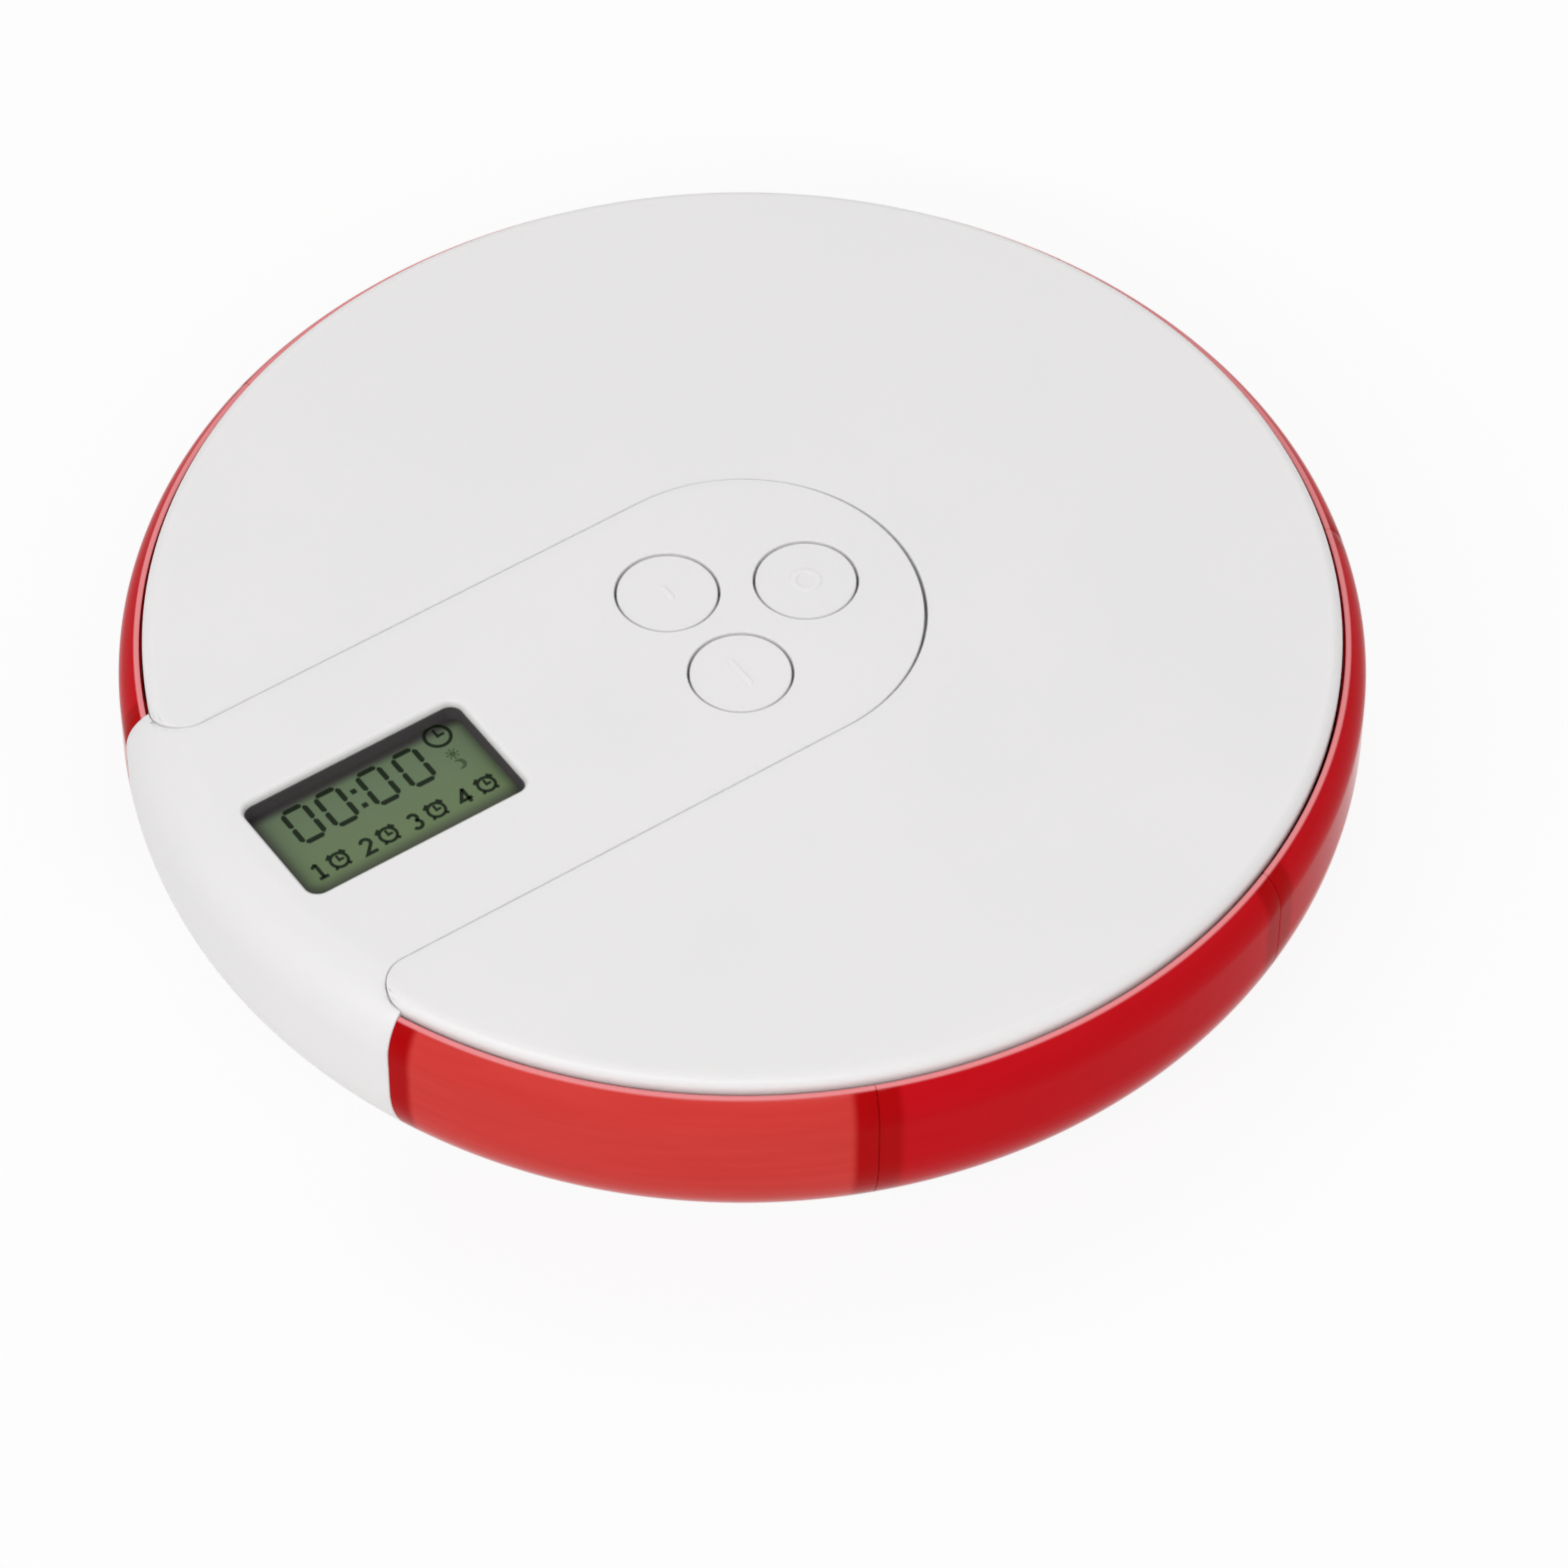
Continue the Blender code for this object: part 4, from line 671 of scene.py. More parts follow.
def makeCover():
    low = caseTop - cover["thickness"]
    profile = [(0.0, caseTop)]
    profile += upperRound(cover["radius"], caseTop, cover["edgeRound"], 12)
    piece = turned("coverShell", profile + [(cover["radius"], low), (0.0, low)])
    sunk, ledgeLow, hubLow = low + sink, low - cover["ledgeThickness"], drawer["bottom"]
    outer, inner, ledge = cover["hubRadius"], cover["hubInner"], cover["ledgeInner"]
    hub = turned("hub", [(outer, sunk), (outer, hubLow), (inner, hubLow), (inner, ledgeLow),
                         (ledge, ledgeLow), (ledge, sunk)], 2 * roundSteps, closed=True)
    neck = cover["neckHalfWidth"]
    cut(hub, block("neck", (-outer - over, -neck, 0.0), (0.0, neck, caseTop + over)))
    join(piece, hub)
    cut(piece, slab("slot", coverSlotOutline(), cover["slotFloor"], caseTop + over))
    start, end, half = cover["web"]
    for angle in cover["screwAngles"]:
        web = block("web", (start, -half, cover["boss"][1]), (end, half, low - sink), angle)
        hangBoss(piece, cover["boss"], low - sink, polar(cover["screwCircle"], angle), web)
    finishPiece(piece, *whiteAbs, "base", ["top_cover"], cover["slotEdgeRound"], 3)


# Timer housing: rim sector and tongue in one moulding

def housingHollow():
    radius, roundTop = case["radius"] - housing["wall"], housing["rimRound"] - housing["wall"]
    middle = (radius - roundTop, caseTop - housing["rimRound"])
    low = drawer["bottom"] - over
    profile = [(0.0, housing["plateBottom"])] + arc(middle, roundTop, math.pi / 2, 0.0)
    profile += swellPoints(drawer["bottom"], housing["wall"])
    profile += [(profile[-1][0], low), (0.0, low)]
    hollow = turned("hollow", profile, case["rimSteps"] // 2)
    inner = wedge(case["jointGap"] / 2 + housing["sideWall"], -housing["startX"] - over, far)
    keepInside(hollow, slab("hollowSides", spun(inner, math.pi), low - over, caseTop + over))
    return hollow


def makeHousing():
    plateBottom, middleX = housing["plateBottom"], housing["windowX"]
    profile = [(0.0, caseTop)] + upperRound(case["radius"], caseTop, housing["rimRound"], 20)
    profile += swellPoints(drawer["bottom"]) + [(0.0, drawer["bottom"])]
    piece = turned("timerHousingShell", profile)
    sector = spun(wedge(case["jointGap"] / 2, -housing["startX"], far + over), math.pi)
    cut(piece, outsideOf("sides", sector, -over, plateBottom),
        outsideOf("topSides", housingTopOutline(), drawer["top"], caseTop + over),
        housingHollow())
    length, width, low, high = housing["frameRoom"]
    cut(piece, block("frameRoom", (middleX - length, -width, low),
                     (middleX + length, width, high)))
    bossTop = plateBottom + housing["bossSink"]
    for place in housing["screwPlaces"]:
        cut(piece, rod("pillarRoom", housing["pillarRoom"], drawer["bottom"] - over,
                       cover["boss"][1], place))
        hangBoss(piece, cover["boss"], bossTop, place)
    for place in housing["boardScrewPlaces"]:
        hangBoss(piece, housing["boardBoss"], bossTop, place)
    window = roundedRectangle((middleX, 0.0), housing["windowLength"],
                              housing["windowWidth"], housing["windowCorner"])
    cut(piece, prism("window", window, flared(plateBottom - over, housing["windowRound"], 8,
                                              housing["windowRoundDrop"])))
    for place in button["places"].values():
        hole = circle(place, button["radius"] + button["gap"], roundSteps)
        cut(piece, prism("buttonHole", hole, flared(plateBottom - over, housing["holeRound"])))
    finishPiece(piece, *whiteAbs, "base", ["timer_housing"], housing["edgeRound"], 3)
    # A dark foam lining inside the window, standing in for the shade on its walls
    low, high = display["panelTop"], housing["shadeLiningTop"]
    shadeLining = slab("windowShadeLining", window, low, high)
    cut(shadeLining, slab("shadeLiningHole", grown(window, -housing["shadeLiningWall"]),
                     low - over, high + over))
    finishPiece(shadeLining, finishes["shadeLiningFoamBlack"], "black_plastic", "base")


# Drawers: one tray, and a turned copy of it for each compartment

# The compartment seen from above: two arcs and two straight sides, with its corners rounded
def hollowOutline(back, front):
    corner = drawer["cornerRound"]
    reach = case["jointGap"] / 2 + drawer["sideWall"] + corner
    square = halfSector + math.pi / 2
    outer, inner = front - corner, back + corner
    outerTurn, innerTurn = (halfSector - math.asin(reach / radius) for radius in (outer, inner))
    half = arc(centre, front, 0.0, outerTurn, 24)[:-1]
    half += arc(polar(outer, outerTurn), corner, outerTurn, square)
    half += arc(polar(inner, innerTurn), corner, square, innerTurn + math.pi)[:-1]
    half += arc(centre, back, innerTurn, 0.0, 12)
    return half + [(x, -y) for x, y in half[-2:0:-1]]


# Its sides draw in to the floor in a fillet, and its front follows the swell
def trayHollow(clear=0.02, below=0.3):
    low, high = drawer["bottom"] + drawer["floor"], drawer["lipTop"] + over
    back = drawer["innerRadius"] + drawer["endWall"]
    front = case["radius"] - drawer["frontWall"]
    fillet = drawer["hollowRound"]
    levels = arc((-fillet, low + fillet), fillet, -math.pi / 2, 0.0, 5) + [(0.0, high)]
    hollow = prism("trayHollow", hollowOutline(back, front), levels)
    profile = [(0.0, high + over), (front + clear, high + over)]
    profile += swellPoints(low - below, drawer["frontWall"]) + [(0.0, low - below)]
    keepInside(hollow, turned("hollowSwell", profile))
    weld(hollow)
    return hollow


def makeDrawers():
    fillet, low, inner = housing["rimRound"], drawer["bottom"], drawer["innerRadius"]
    middle = (case["radius"] - fillet, caseTop - fillet)
    first = math.asin((drawer["lipTop"] - middle[1]) / fillet)
    lipInner = case["radius"] - drawer["lipThickness"]
    profile = arc(middle, fillet, first, 0.0, 12) + swellPoints(low)
    profile += [(inner, low), (inner, drawer["top"]), (lipInner, drawer["top"]),
                (lipInner, drawer["lipTop"])]
    tray = turned("clearTray", profile, closed=True)
    sides = wedge(case["jointGap"] / 2, inner - 2 * over, far)
    keepInside(tray, slab("traySides", sides, -over, caseTop + over))
    start, end, half, top = drawer["groove"]
    cut(tray, trayHollow(), block("groove", (start, -half, low - over), (end, half, top)))
    for number in range(1, case["sectors"]):
        name = f"drawer_{number}"
        piece = addObject(f"clearDrawer{number}", tray.data.copy())
        piece.rotation_euler.z = math.pi + 2 * halfSector * number
        # Listed drawers get a paler red: painted light, as if lit more from the front
        red = "frontLitPolystyreneRed" if number in drawer["frontLit"] else "polishedPolystyreneRed"
        finishPiece(piece, finishes[red], "clear_red_polystyrene", name, [name],
                    drawer["edgeRound"], 3)
    bpy.data.objects.remove(tray, do_unlink=True)


# Buttons, each with its raised mark

def makeButtons():
    top, radius, flange = button["capTop"], button["radius"], button["flangeRadius"]
    high, low = button["flangeTop"], button["flangeBottom"]
    stem, stemLow, half = button["stemRadius"], button["stemBottom"], button["markWidth"] / 2
    profile = [(0.0, top)] + upperRound(radius, top, button["edgeRound"], 8)
    profile += [(radius, high), (flange, high), (flange, low), (stem, low), (stem, stemLow),
                (0.0, stemLow)]
    levels = [(0.0, top - button["markSink"])]
    levels += [(-offset, height) for offset, height in
               flared(0.0, button["markRound"], 4)[1:-1]]
    for name, place in button["places"].items():
        piece = turned(name + "Cap", profile, roundSteps, place=place)
        if name in button["markLengths"]:
            outline = roundedRectangle(place, button["markWidth"], button["markLengths"][name],
                                       half * nearlyRound)
            mark = prism("mark", outline, levels)
        else:
            mark = prism("mark", circle(place, button["markRing"] + half, 64), levels)
            hole = circle(place, button["markRing"] - half, 64)
            cut(mark, prism("markHole", hole, flared(top - over, button["markRound"], 4)))
        join(piece, mark)
        finishPiece(piece, *whiteAbs, name, [name])


# Display: the panel behind the window, and its figures as thin shapes on it

def addPrism(shape, outline):
    rings = [[shape.verts.new((x, y, height)) for x, y in outline]
             for height in (display["figureBottom"], display["figureTop"])]
    for i in range(len(outline)):
        j = (i + 1) % len(outline)
        shape.faces.new((rings[0][i], rings[0][j], rings[1][j], rings[1][i]))
    shape.faces.new(rings[0][::-1])
    shape.faces.new(rings[1])


figures = {
    "zeroXs": (-45.21, -41.85, -37.59, -33.95), "zeroY": 0.67, "zeroWidth": 2.65,
    "zeroHeight": 4.34, "stroke": 0.46, "segmentGap": 0.07, "corner": 0.62,
    "sideCuts": (0.45, 0.2),                   # how a side segment ends, to its stroke
    "colon": ((-38.38, 3.48), (-38.38, 1.62)), "colonSize": 0.5,
    "clock": (-28.96, 4.67), "clockRadius": 1.32, "clockStroke": 0.3,
    "hands": (0.62, 0.5), "handWidth": 0.8,    # to the clock's radius and stroke
    "sun": (-29.0, 2.24), "moon": (-29.05, 0.9), "symbolRadius": 0.56,
    "rays": 8, "sunParts": (0.5, 0.7, 1.1), "rayWidth": 0.1,     # disc, then each ray's ends
    "moonAngles": (125 * degree, 88 * degree), "moonHollow": (0.45, 0.82),
    "numberXs": (-45.68, -40.7, -35.7, -30.8), "numberY": -3.36, "numberHeight": 1.9,
    "numberStroke": 0.31,
    "alarmXs": (-43.55, -38.55, -33.61, -28.46), "alarmY": -2.33, "alarmRadius": 0.92,
    "alarmStroke": 0.27,
    "bell": (44 * degree, 0.1, 0.3),           # angle, distance out, half length
    "foot": (42 * degree, -0.1, 0.22),         # angle, start and end out
}


# The six lit segments of a nought, with cut corners and hairline gaps
def addNought(shape, x):
    half, rise = figures["zeroWidth"] / 2, figures["zeroHeight"] / 2
    stroke, gap, corner = figures["stroke"], figures["segmentGap"], figures["corner"]
    outerCut, innerCut = (stroke * share for share in figures["sideCuts"])
    middle = (x + half, figures["zeroY"] + rise)
    top = [(-half + corner, rise), (half - corner, rise),
           (half - corner / 2 - gap, rise - corner / 2 + gap),
           (half - stroke - gap, rise - stroke), (-half + stroke + gap, rise - stroke),
           (-half + corner / 2 + gap, rise - corner / 2 + gap)]
    side = [(half, gap + outerCut), (half, rise - corner),
            (half - corner / 2 + gap, rise - corner / 2 - gap),
            (half - stroke, rise - stroke - gap), (half - stroke, gap + innerCut),
            (half - stroke / 2, gap)]
    for sx, sy, segment in ((1, 1, top), (1, -1, top), (1, 1, side), (-1, 1, side),
                            (1, -1, side), (-1, -1, side)):
        outline = [(middle[0] + sx * px, middle[1] + sy * py) for px, py in segment]
        addPrism(shape, outline if sx * sy > 0 else outline[::-1])


def addBar(shape, start, end, width):
    start, end = Vector(start), Vector(end)
    along = (end - start).normalized() * width / 2
    side = Vector((-along.y, along.x))
    addPrism(shape, [tuple(corner) for corner in
                     (start - side, end - side, end + side, start + side)])


# A flat ring: four rows of points, each joined to the next all the way round
def addRing(shape, middle, radius, stroke, steps=48):
    low, high, inner = display["figureBottom"], display["figureTop"], radius - stroke
    rows = [[shape.verts.new((*point, height)) for point in circle(middle, reach, steps)]
            for reach, height in ((radius, low), (radius, high), (inner, high), (inner, low))]
    for row, other in zip(rows, rows[1:] + rows[:1]):
        for i in range(steps):
            j = (i + 1) % steps
            shape.faces.new((row[i], row[j], other[j], other[i]))


def addClock(shape, middle, radius, stroke):
    addRing(shape, middle, radius, stroke)
    x, y = middle
    up, across = (radius * share for share in figures["hands"])
    width = stroke * figures["handWidth"]
    addBar(shape, (x, y - stroke / 2), (x, y + up), width)
    addBar(shape, (x + width / 2, y), (x + across, y), width)


def addAlarmClock(shape, middle):
    radius, stroke = figures["alarmRadius"], figures["alarmStroke"]
    addClock(shape, middle, radius, stroke)
    bellAngle, bellOut, bellHalf = figures["bell"]
    footAngle, footStart, footEnd = figures["foot"]
    for side in (-1, 1):
        turn = math.pi / 2 - side * bellAngle
        bell = Vector(polar(radius + bellOut, turn, middle))
        along = Vector(polar(bellHalf, turn + math.pi / 2))
        addBar(shape, bell - along, bell + along, stroke)
        turn = -math.pi / 2 + side * footAngle
        addBar(shape, polar(radius + footStart, turn, middle),
               polar(radius + footEnd, turn, middle), stroke)


# A line of one width through some points, its corners mitred
def addStroke(shape, points, width):
    left, right = [], []
    for i, here in enumerate(points):
        here = Vector(here)
        before = (here - Vector(points[i - 1])).normalized() if i else None
        after = (Vector(points[i + 1]) - here).normalized() if i + 1 < len(points) else None
        before, after = before or after, after or before
        side = Vector((-before.y - after.y, before.x + after.x))
        side *= width / side.length_squared
        left.append(tuple(here + side))
        right.append(tuple(here - side))
    addPrism(shape, right + left[::-1])


# Numbers 1 to 4 as pen lines: x from the middle and y from the foot, in heights
numberLines = {
    1: [[(-0.2, 0.77), (0.04, 0.93)], [(0.04, 0.93), (0.04, 0.07)],
        [(-0.2, 0.07), (0.27, 0.07)]],
    2: [arc((0.0, 0.69), 0.235, 165 * degree, -35 * degree, 14)
        + [(-0.26, 0.07), (0.29, 0.07)]],
    3: [arc((-0.08, 0.715), 0.215, 150 * degree, -72 * degree, 14),
        arc((-0.08, 0.305), 0.24, 84 * degree, -150 * degree, 14)],
    4: [[(0.13, 0.07), (0.13, 0.95)], [(0.13, 0.95), (-0.28, 0.3), (0.3, 0.3)]],
}


def addNumber(shape, number, middleX):
    size = figures["numberHeight"]
    for line in numberLines[number]:
        points = [(middleX + x * size, figures["numberY"] + y * size) for x, y in line]
        addStroke(shape, points, figures["numberStroke"])


def addSun(shape, middle, radius):
    disc, start, end = (radius * share for share in figures["sunParts"])
    addPrism(shape, circle(middle, disc, 24))
    for i in range(figures["rays"]):
        angle = fullTurn * i / figures["rays"]
        addBar(shape, polar(start, angle, middle), polar(end, angle, middle),
               figures["rayWidth"])


def addMoon(shape, middle, radius):
    outer, inner = figures["moonAngles"]
    shift, hollow = (radius * share for share in figures["moonHollow"])
    crescent = arc(middle, radius, -outer, outer, 24)
    crescent += arc((middle[0] - shift, middle[1]), hollow, inner, -inner, 20)[1:-1]
    addPrism(shape, crescent)


def makeDisplay():
    panel = slab("displayPanel", roundedRectangle(
        (housing["windowX"], 0.0), 2 * display["halfLength"], 2 * display["halfWidth"],
        display["corner"], 4), display["bottom"], display["panelTop"])
    finishPiece(panel, finishes["polarisedReflectorGreen"], "display_glass", "base",
                ["display_glass"], display["edgeRound"])
    dark, faint = bmesh.new(), bmesh.new()
    for x in figures["zeroXs"]:
        addNought(dark, x)
    half = figures["colonSize"] / 2
    for x, y in figures["colon"]:
        addPrism(dark, [(x - half, y - half), (x + half, y - half), (x + half, y + half),
                        (x - half, y + half)])
    addClock(dark, figures["clock"], figures["clockRadius"], figures["clockStroke"])
    for number, x in enumerate(figures["numberXs"], 1):
        addNumber(dark, number, x)
    for x in figures["alarmXs"]:
        addAlarmClock(dark, (x, figures["alarmY"]))
    addSun(faint, figures["sun"], figures["symbolRadius"])
    addMoon(faint, figures["moon"], figures["symbolRadius"])
    for name, shape, finish in (("displayFigures", dark, "segmentInkDark"),
                                ("displaySymbols", faint, "segmentInkFaint")):
        finishPiece(newPiece(name, shape), finishes[finish], "display_glass", "base")


# Base shell, its battery door, and the case screws

base = {
    "floorTop": 2.4, "footInner": 36.5, "footHeight": 0.5, "edgeRound": 0.1,
    "padRadius": 13.4, "padTop": 3.2, "cupInner": 10.4, "cupOuter": 11.6, "cupTop": 6.2,
    "buzzer": (-31.0, 0.0), "buzzerRing": (6.2, 7.4, 4.4),
    "pillar": (2.7, 4.0), "counterbore": (2.2, 2.2), "screwHole": 1.2,     # radius, top
    "lug": (45.0, 48.0, 2.0, 3.3),             # start, end, half width, top
    "openingRadius": 11.2, "slotRadius": 12.9, "slotLow": 1.3, "slotClear": 0.15,
    "notchRadius": 12.5, "notchAngle": 40 * degree, "notchSpread": 18 * degree,
    "contactSlot": (1.6, 10.0, 12.6, 3.5),     # half width, start, end, bottom
    "soundHoleRadius": 0.6, "soundCircle": 2.6, "soundHoles": 6,
}
door = {
    "radius": 10.9, "bottom": 0.5, "top": 2.2, "rimRound": 0.35, "edgeRound": 0.1,
    "tabRadius": 12.3, "tabBottom": 1.6, "tabTop": 2.05, "tabSpread": 16 * degree,
    "slotHalfWidth": 0.8, "slotHalfLength": 5.5, "slotTop": 1.2,
}
screw = {
    "headRadius": 1.9, "headHeight": 1.0, "headRound": 0.5, "shankRadius": 0.9,
    "rootRadius": 0.68, "tipRadius": 0.12, "neck": 0.1, "length": 8.0, "seat": 1.9,
    "threadPitch": 0.8, "crestShare": 0.08, "rootShare": 0.42, "taperTurns": 3,
    "crossHalf": 0.95, "crossWidth": 0.5, "crossDepth": 0.6,
    "crossFlare": 0.08, "crossTaper": 0.45,    # the recess narrows as it goes in
    "crossOut": 0.2, "turnedBy": 1.3, "edgeRound": 0.04,
}


def screwPlaces():
    hub = [polar(cover["screwCircle"], angle) for angle in cover["screwAngles"]]
    return hub + list(housing["screwPlaces"])


def pie(radius, middle, spread):
    return [centre] + arc(centre, radius, middle - spread, middle + spread, 24)


def makeBase():
    floorTop, foot, inner = base["floorTop"], base["footHeight"], base["footInner"]
    profile = [(0.0, floorTop)] + swellPoints(0.0, top=floorTop, steps=16)
    profile += [(inner, 0.0), (inner - foot, foot), (0.0, foot)]
    piece = turned("baseShell", profile)
    inner, outer, top = base["buzzerRing"]
    sunk = floorTop - sink
    join(piece, rod("pad", base["padRadius"], sunk, base["padTop"], steps=roundSteps),
         rod("cup", base["cupOuter"], floorTop, base["cupTop"], steps=roundSteps),
         turned("buzzerRing", [(outer, top), (outer, sunk), (inner, sunk), (inner, top)],
                roundSteps, closed=True, place=base["buzzer"]))
    (pillar, pillarTop), (bore, boreTop) = base["pillar"], base["counterbore"]
    for place in screwPlaces():
        join(piece, rod("pillar", pillar, sunk, pillarTop, place))
        cut(piece, rod("counterbore", bore, -over, boreTop, place),
            rod("screwHole", base["screwHole"], -over, pillarTop + over, place))
    start, end, half, top = base["lug"]
    join(piece, *[block("lug", (start, -half, sunk), (end, half, top),
                        math.pi + 2 * halfSector * number)
                  for number in range(1, case["sectors"])])
    low, roomTop = base["slotLow"], base["cupTop"] + over
    opening = rod("opening", base["openingRadius"], -over, low + sink, steps=roundSteps)
    slot = rod("doorSlot", base["slotRadius"], low, door["top"] + base["slotClear"],
               steps=roundSteps)
    room = rod("coinRoom", base["cupInner"], door["top"], roomTop, steps=roundSteps)
    notches = [slab("notch", pie(base["notchRadius"], base["notchAngle"] + side * math.pi,
                                 base["notchSpread"]), -over, low + sink)
               for side in range(2)]
    cut(piece, opening, slot, room, *notches)
    half, start, end, low = base["contactSlot"]
    cut(piece, block("contactSlot", (-half, start, low), (half, end, roomTop)))
    places = [base["buzzer"]] + circle(base["buzzer"], base["soundCircle"], base["soundHoles"])
    cut(piece, *[rod("soundHole", base["soundHoleRadius"], -over, floorTop + over, place, 24)
                 for place in places])
    finishPiece(piece, *whiteAbs, "base", ["base_shell"], base["edgeRound"])


def makeDoor():
    low, top, radius = door["bottom"], door["top"], door["radius"]
    profile = [(0.0, top), (radius, top)] + lowerRound(radius, low, door["rimRound"], 6)
    piece = turned("batteryDoorDisc", profile + [(0.0, low)], 2 * roundSteps)
    join(piece, *[slab("tab", pie(door["tabRadius"], side * math.pi, door["tabSpread"]),
                       door["tabBottom"], door["tabTop"]) for side in range(2)])
    half = door["slotHalfWidth"]
    coinSlot = roundedRectangle(centre, 2 * half, 2 * door["slotHalfLength"],
                                half * nearlyRound)
    cut(piece, slab("coinSlot", coinSlot, -over, door["slotTop"]))
    finishPiece(piece, *whiteAbs, "battery_door", ["battery_door"], door["edgeRound"])


def makeScrews():
    pitch, shank, root = screw["threadPitch"], screw["shankRadius"], screw["rootRadius"]
    seat, head, taper = screw["seat"], screw["headRadius"], screw["taperTurns"]
    under, tip = seat - screw["headHeight"], seat + screw["length"]
    crestHalf, rootHalf = pitch * screw["crestShare"], pitch * screw["rootShare"]
    profile = [(0.0, tip), (screw["tipRadius"], tip)]
    threads = int(screw["length"] / pitch) - 1
    for i in range(threads, 0, -1):
        middle = seat + i * pitch
        share = min(1.0, (threads - i + taper / 2) / taper)
        profile += [(root * share, middle + rootHalf), (shank * share, middle + crestHalf),
                    (shank * share, middle - crestHalf), (root * share, middle - rootHalf)]
    profile += [(root, seat + screw["neck"]), (root, seat), (head, seat)]
    profile += lowerRound(head, under, screw["headRound"], 8) + [(0.0, under)]
    half, width = screw["crossHalf"], screw["crossWidth"] / 2
    cross = [(-half, -width), (half, -width), (half, width), (-half, width)]
    levels = [(screw["crossFlare"], under - screw["crossOut"]),
              (-width * screw["crossTaper"], under + screw["crossDepth"])]
    for number, (x, y) in enumerate(screwPlaces(), 1):
        piece = turned(f"caseScrewDetailed{number}", profile, case["smallSteps"])
        for angle in (0.0, math.pi / 2):
            cut(piece, prism("cross", spun(cross, angle), levels))
        turn = Matrix.Rotation(number * screw["turnedBy"], 4, "Z")
        piece.data.transform(Matrix.Translation((x, y, 0.0)) @ turn)
        finishPiece(piece, finishes["zincPlatedSteel"], "steel", "base",
                    [f"case_screw_{number}"], screw["edgeRound"])


# CAD pieces that keep their own shape, by finish

keptPieces = {
    "platedSteelBright": ("coin_cell", "battery_contact_minus", "battery_contact_plus",
                          "crystal_can"),
    "zincPlatedSteel": ("board_screw_1", "board_screw_2", "board_screw_3"),
    "rolledBrass": ("buzzer_plate",),
    "firedSilver": ("buzzer_ceramic",),
    "extrudedPvcRed": ("buzzer_lead_signal",),
    "extrudedPvcBlack": ("buzzer_lead_ground",),
    "castEpoxyBlack": ("timer_chip",),
    "lacqueredLaminateGreen": ("circuit_board",),
    "layeredSiliconePink": ("contact_strip",),
    "mouldedPolyamideBlack": ("display_frame", "hour_switch_body", "minute_switch_body",
                              "set_switch_body", "hour_switch_plunger", "minute_switch_plunger",
                              "set_switch_plunger"),
}


def dressKeptPieces():
    for finish, names in keptPieces.items():
        for name in names:
            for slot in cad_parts[name].material_slots:
                slot.material = finishes[finish]


for make, done in ((makeCover, "cover"), (makeHousing, "timer housing"),
                   (makeDrawers, "drawers"), (makeButtons, "buttons"),
                   (makeDisplay, "display"), (makeBase, "base"), (makeDoor, "battery door"),
                   (makeScrews, "screws"), (dressKeptPieces, "inner pieces")):
    make()
    print(done + " made")


# Floor, light and camera

studio = {
    "floorHalf": 4.0, "floorColour": "#ECECEC", "floorGlow": 0.9,
    "paper": {"Roughness": 0.95, "Specular IOR Level": 0.1},
    "floorDrop": 0.05,                         # so that floor and foot don't share a plane
    "worldStrength": 0.57,
    "cameraAngles": (-34.57, 48.67), "cameraDistance": 675.2, "cameraTarget": (0.0, 0.0, 11.0),
    "lens": 174.4, "sensorWidth": 36.0, "shift": (0.0266, -0.0569), "clipStart": 0.01,
}
# Each lamp: place, then width and height in metres, and watts
lamps = {
    "softboxFront": {"place": (-0.62, -0.5, 0.68), "size": (1.1, 0.06), "power": 4.3},
    "softboxBack": {"place": (0.3, 0.5, 1.1), "size": (0.9, 0.5), "power": 2.6},
    "fillRight": {"place": (0.6, -0.9, 0.6), "size": (0.9, 0.9), "power": 0.8},
    "fillLeft": {"place": (-0.95, -0.1, 0.5), "size": (0.6, 0.6), "power": 0.8},
}


# 1 for the rays that show the background: the camera's own, mirrored and transmitted ones
def seenBackground(tree):
    path = addNode(tree, "LightPath").outputs
    seen = path["Is Camera Ray"]
    for name in ("Is Glossy Ray", "Is Transmission Ray"):
        seen = addNode(tree, "Math", {"operation": "MAXIMUM"}, {0: seen, 1: path[name]})
    return seen


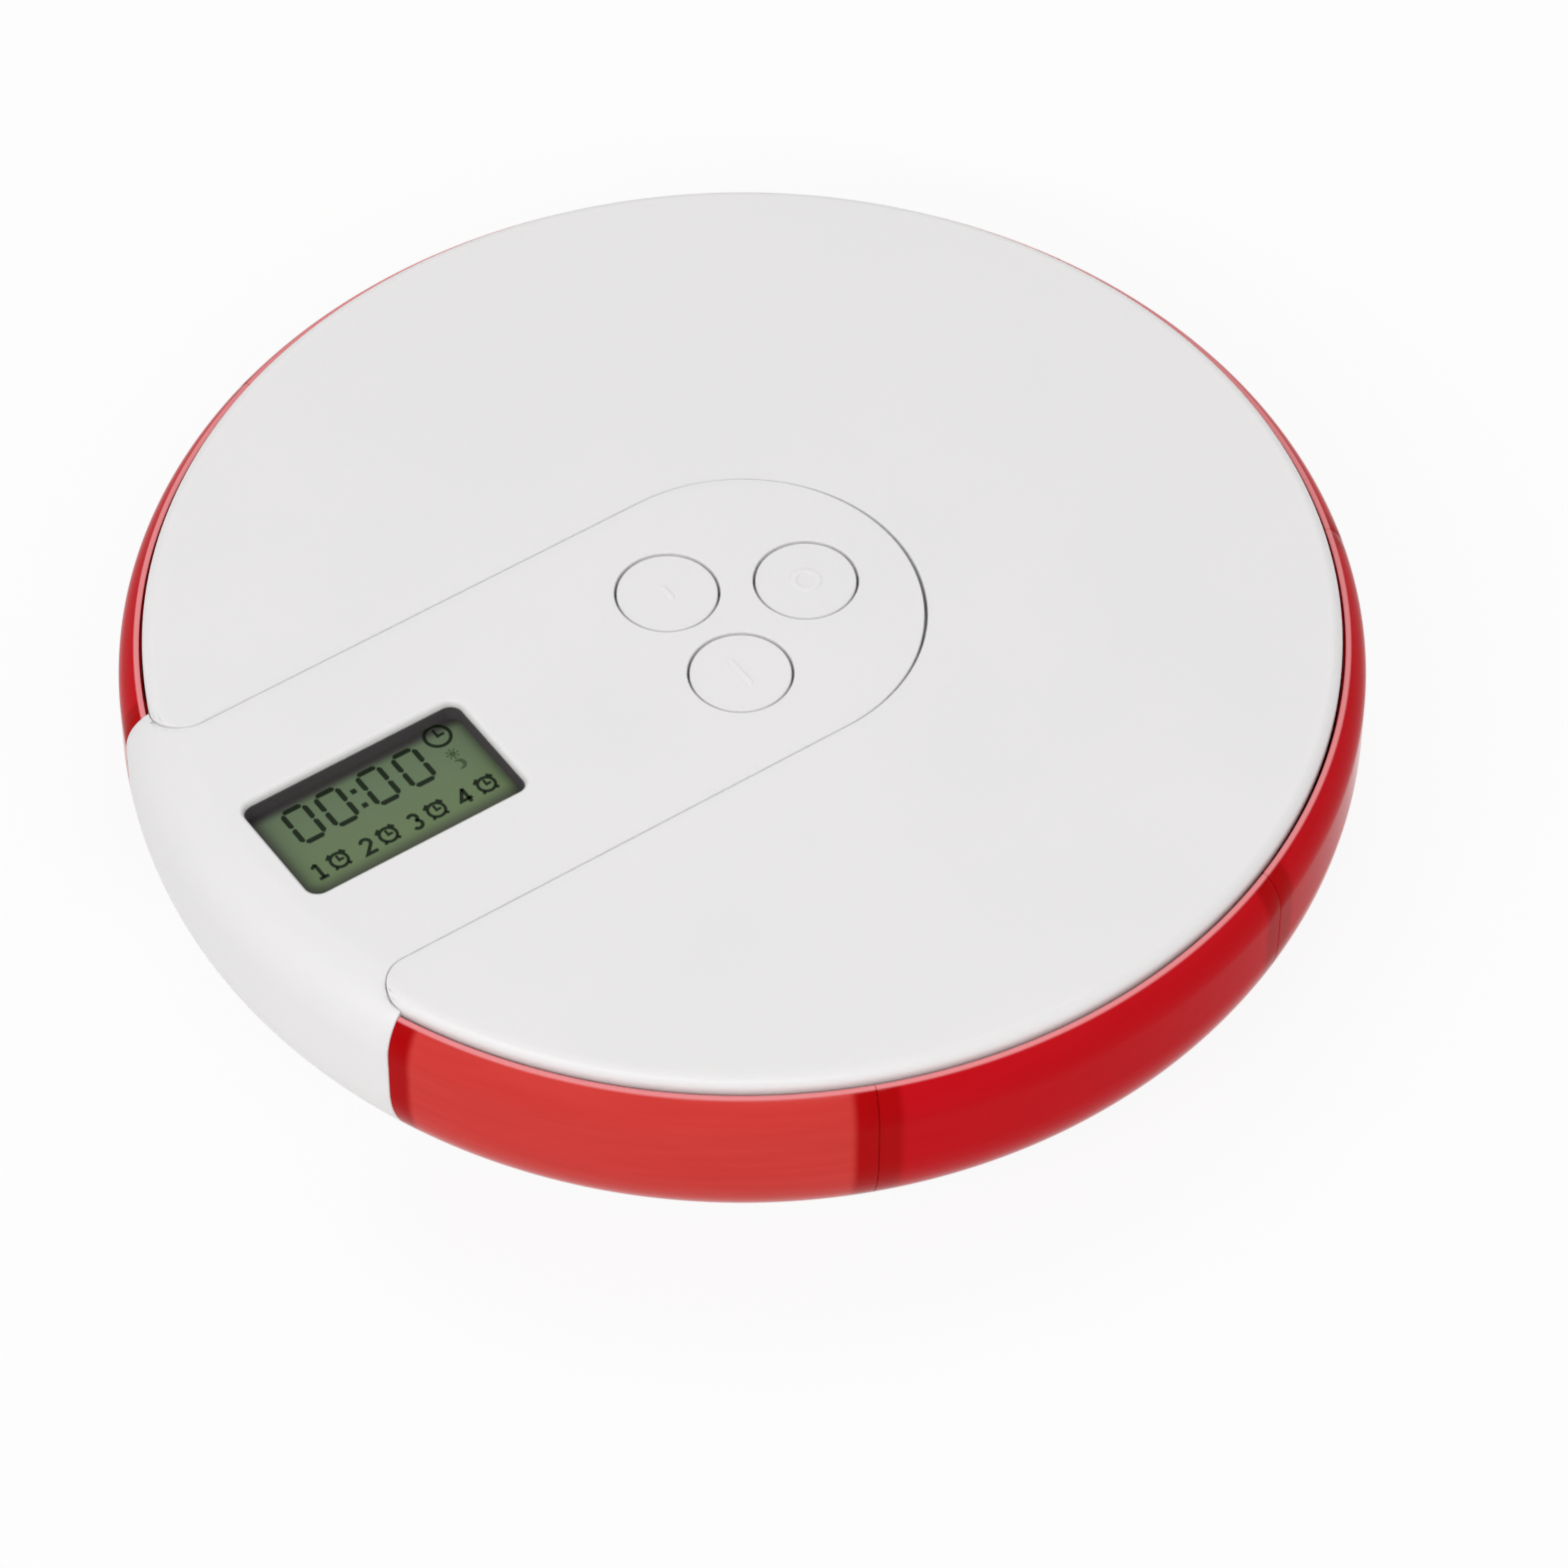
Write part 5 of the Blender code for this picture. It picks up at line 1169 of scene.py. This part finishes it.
# Matt paper: those rays see most of it as plain white light
def mattPaper():
    material, tree, shader = newMaterial("mattPaperWhite", {
        "Base Color": hexColour(studio["floorColour"]), **studio["paper"]})
    share = addNode(tree, "Math", {"operation": "MULTIPLY", 1: studio["floorGlow"]},
                    {0: seenBackground(tree)})
    glow = addNode(tree, "Emission", {"Color": (1, 1, 1, 1), "Strength": 1.0})
    mix = addNode(tree, "MixShader", links={0: share, 1: shader, 2: glow})
    linkNode(tree, tree.nodes["Material Output"], {"Surface": mix})
    return material


def makeStage():
    half, drop = studio["floorHalf"], studio["floorDrop"] * mm
    shape = bmesh.new()
    shape.faces.new([shape.verts.new((x, y, -drop)) for x, y in
                     ((-half, -half), (half, -half), (half, half), (-half, half))])
    floor = newPiece("floor", shape)
    floor.data.materials.append(mattPaper())
    world = bpy.data.worlds.new("softRoom")
    bpy.context.scene.world = world
    world.use_nodes = True
    tree = world.node_tree
    strength = addNode(tree, "MapRange", {"To Min": studio["worldStrength"], "To Max": 1.0},
                       {"Value": seenBackground(tree)})
    background = tree.nodes["Background"]
    background.inputs["Color"].default_value = (1.0, 1.0, 1.0, 1.0)
    linkNode(tree, background, {"Strength": strength})
    middle = Vector(studio["cameraTarget"]) * mm
    for name, spec in lamps.items():
        lamp = bpy.data.lights.new(name, "AREA")
        lamp.shape = "RECTANGLE"
        lamp.size, lamp.size_y = spec["size"]
        lamp.energy = spec["power"]
        item = addObject(name, lamp)
        item.location = spec["place"]
        item.rotation_euler = (middle - item.location).to_track_quat("-Z", "Y").to_euler()


def makeCamera():
    turn, rise = (angle * degree for angle in studio["cameraAngles"])
    back = Vector((math.sin(turn) * math.cos(rise), -math.cos(turn) * math.cos(rise),
                   math.sin(rise)))
    camera = bpy.data.cameras.new("camera")
    camera.lens = studio["lens"]
    camera.sensor_width = studio["sensorWidth"]
    camera.shift_x, camera.shift_y = studio["shift"]
    camera.clip_start = studio["clipStart"]
    item = addObject("camera", camera)
    item.location = (Vector(studio["cameraTarget"]) + back * studio["cameraDistance"]) * mm
    item.rotation_euler = back.to_track_quat("Z", "Y").to_euler()
    bpy.context.scene.camera = item
    bpy.context.scene.view_settings.view_transform = "Standard"


makeStage()
makeCamera()
print("stage and camera set")
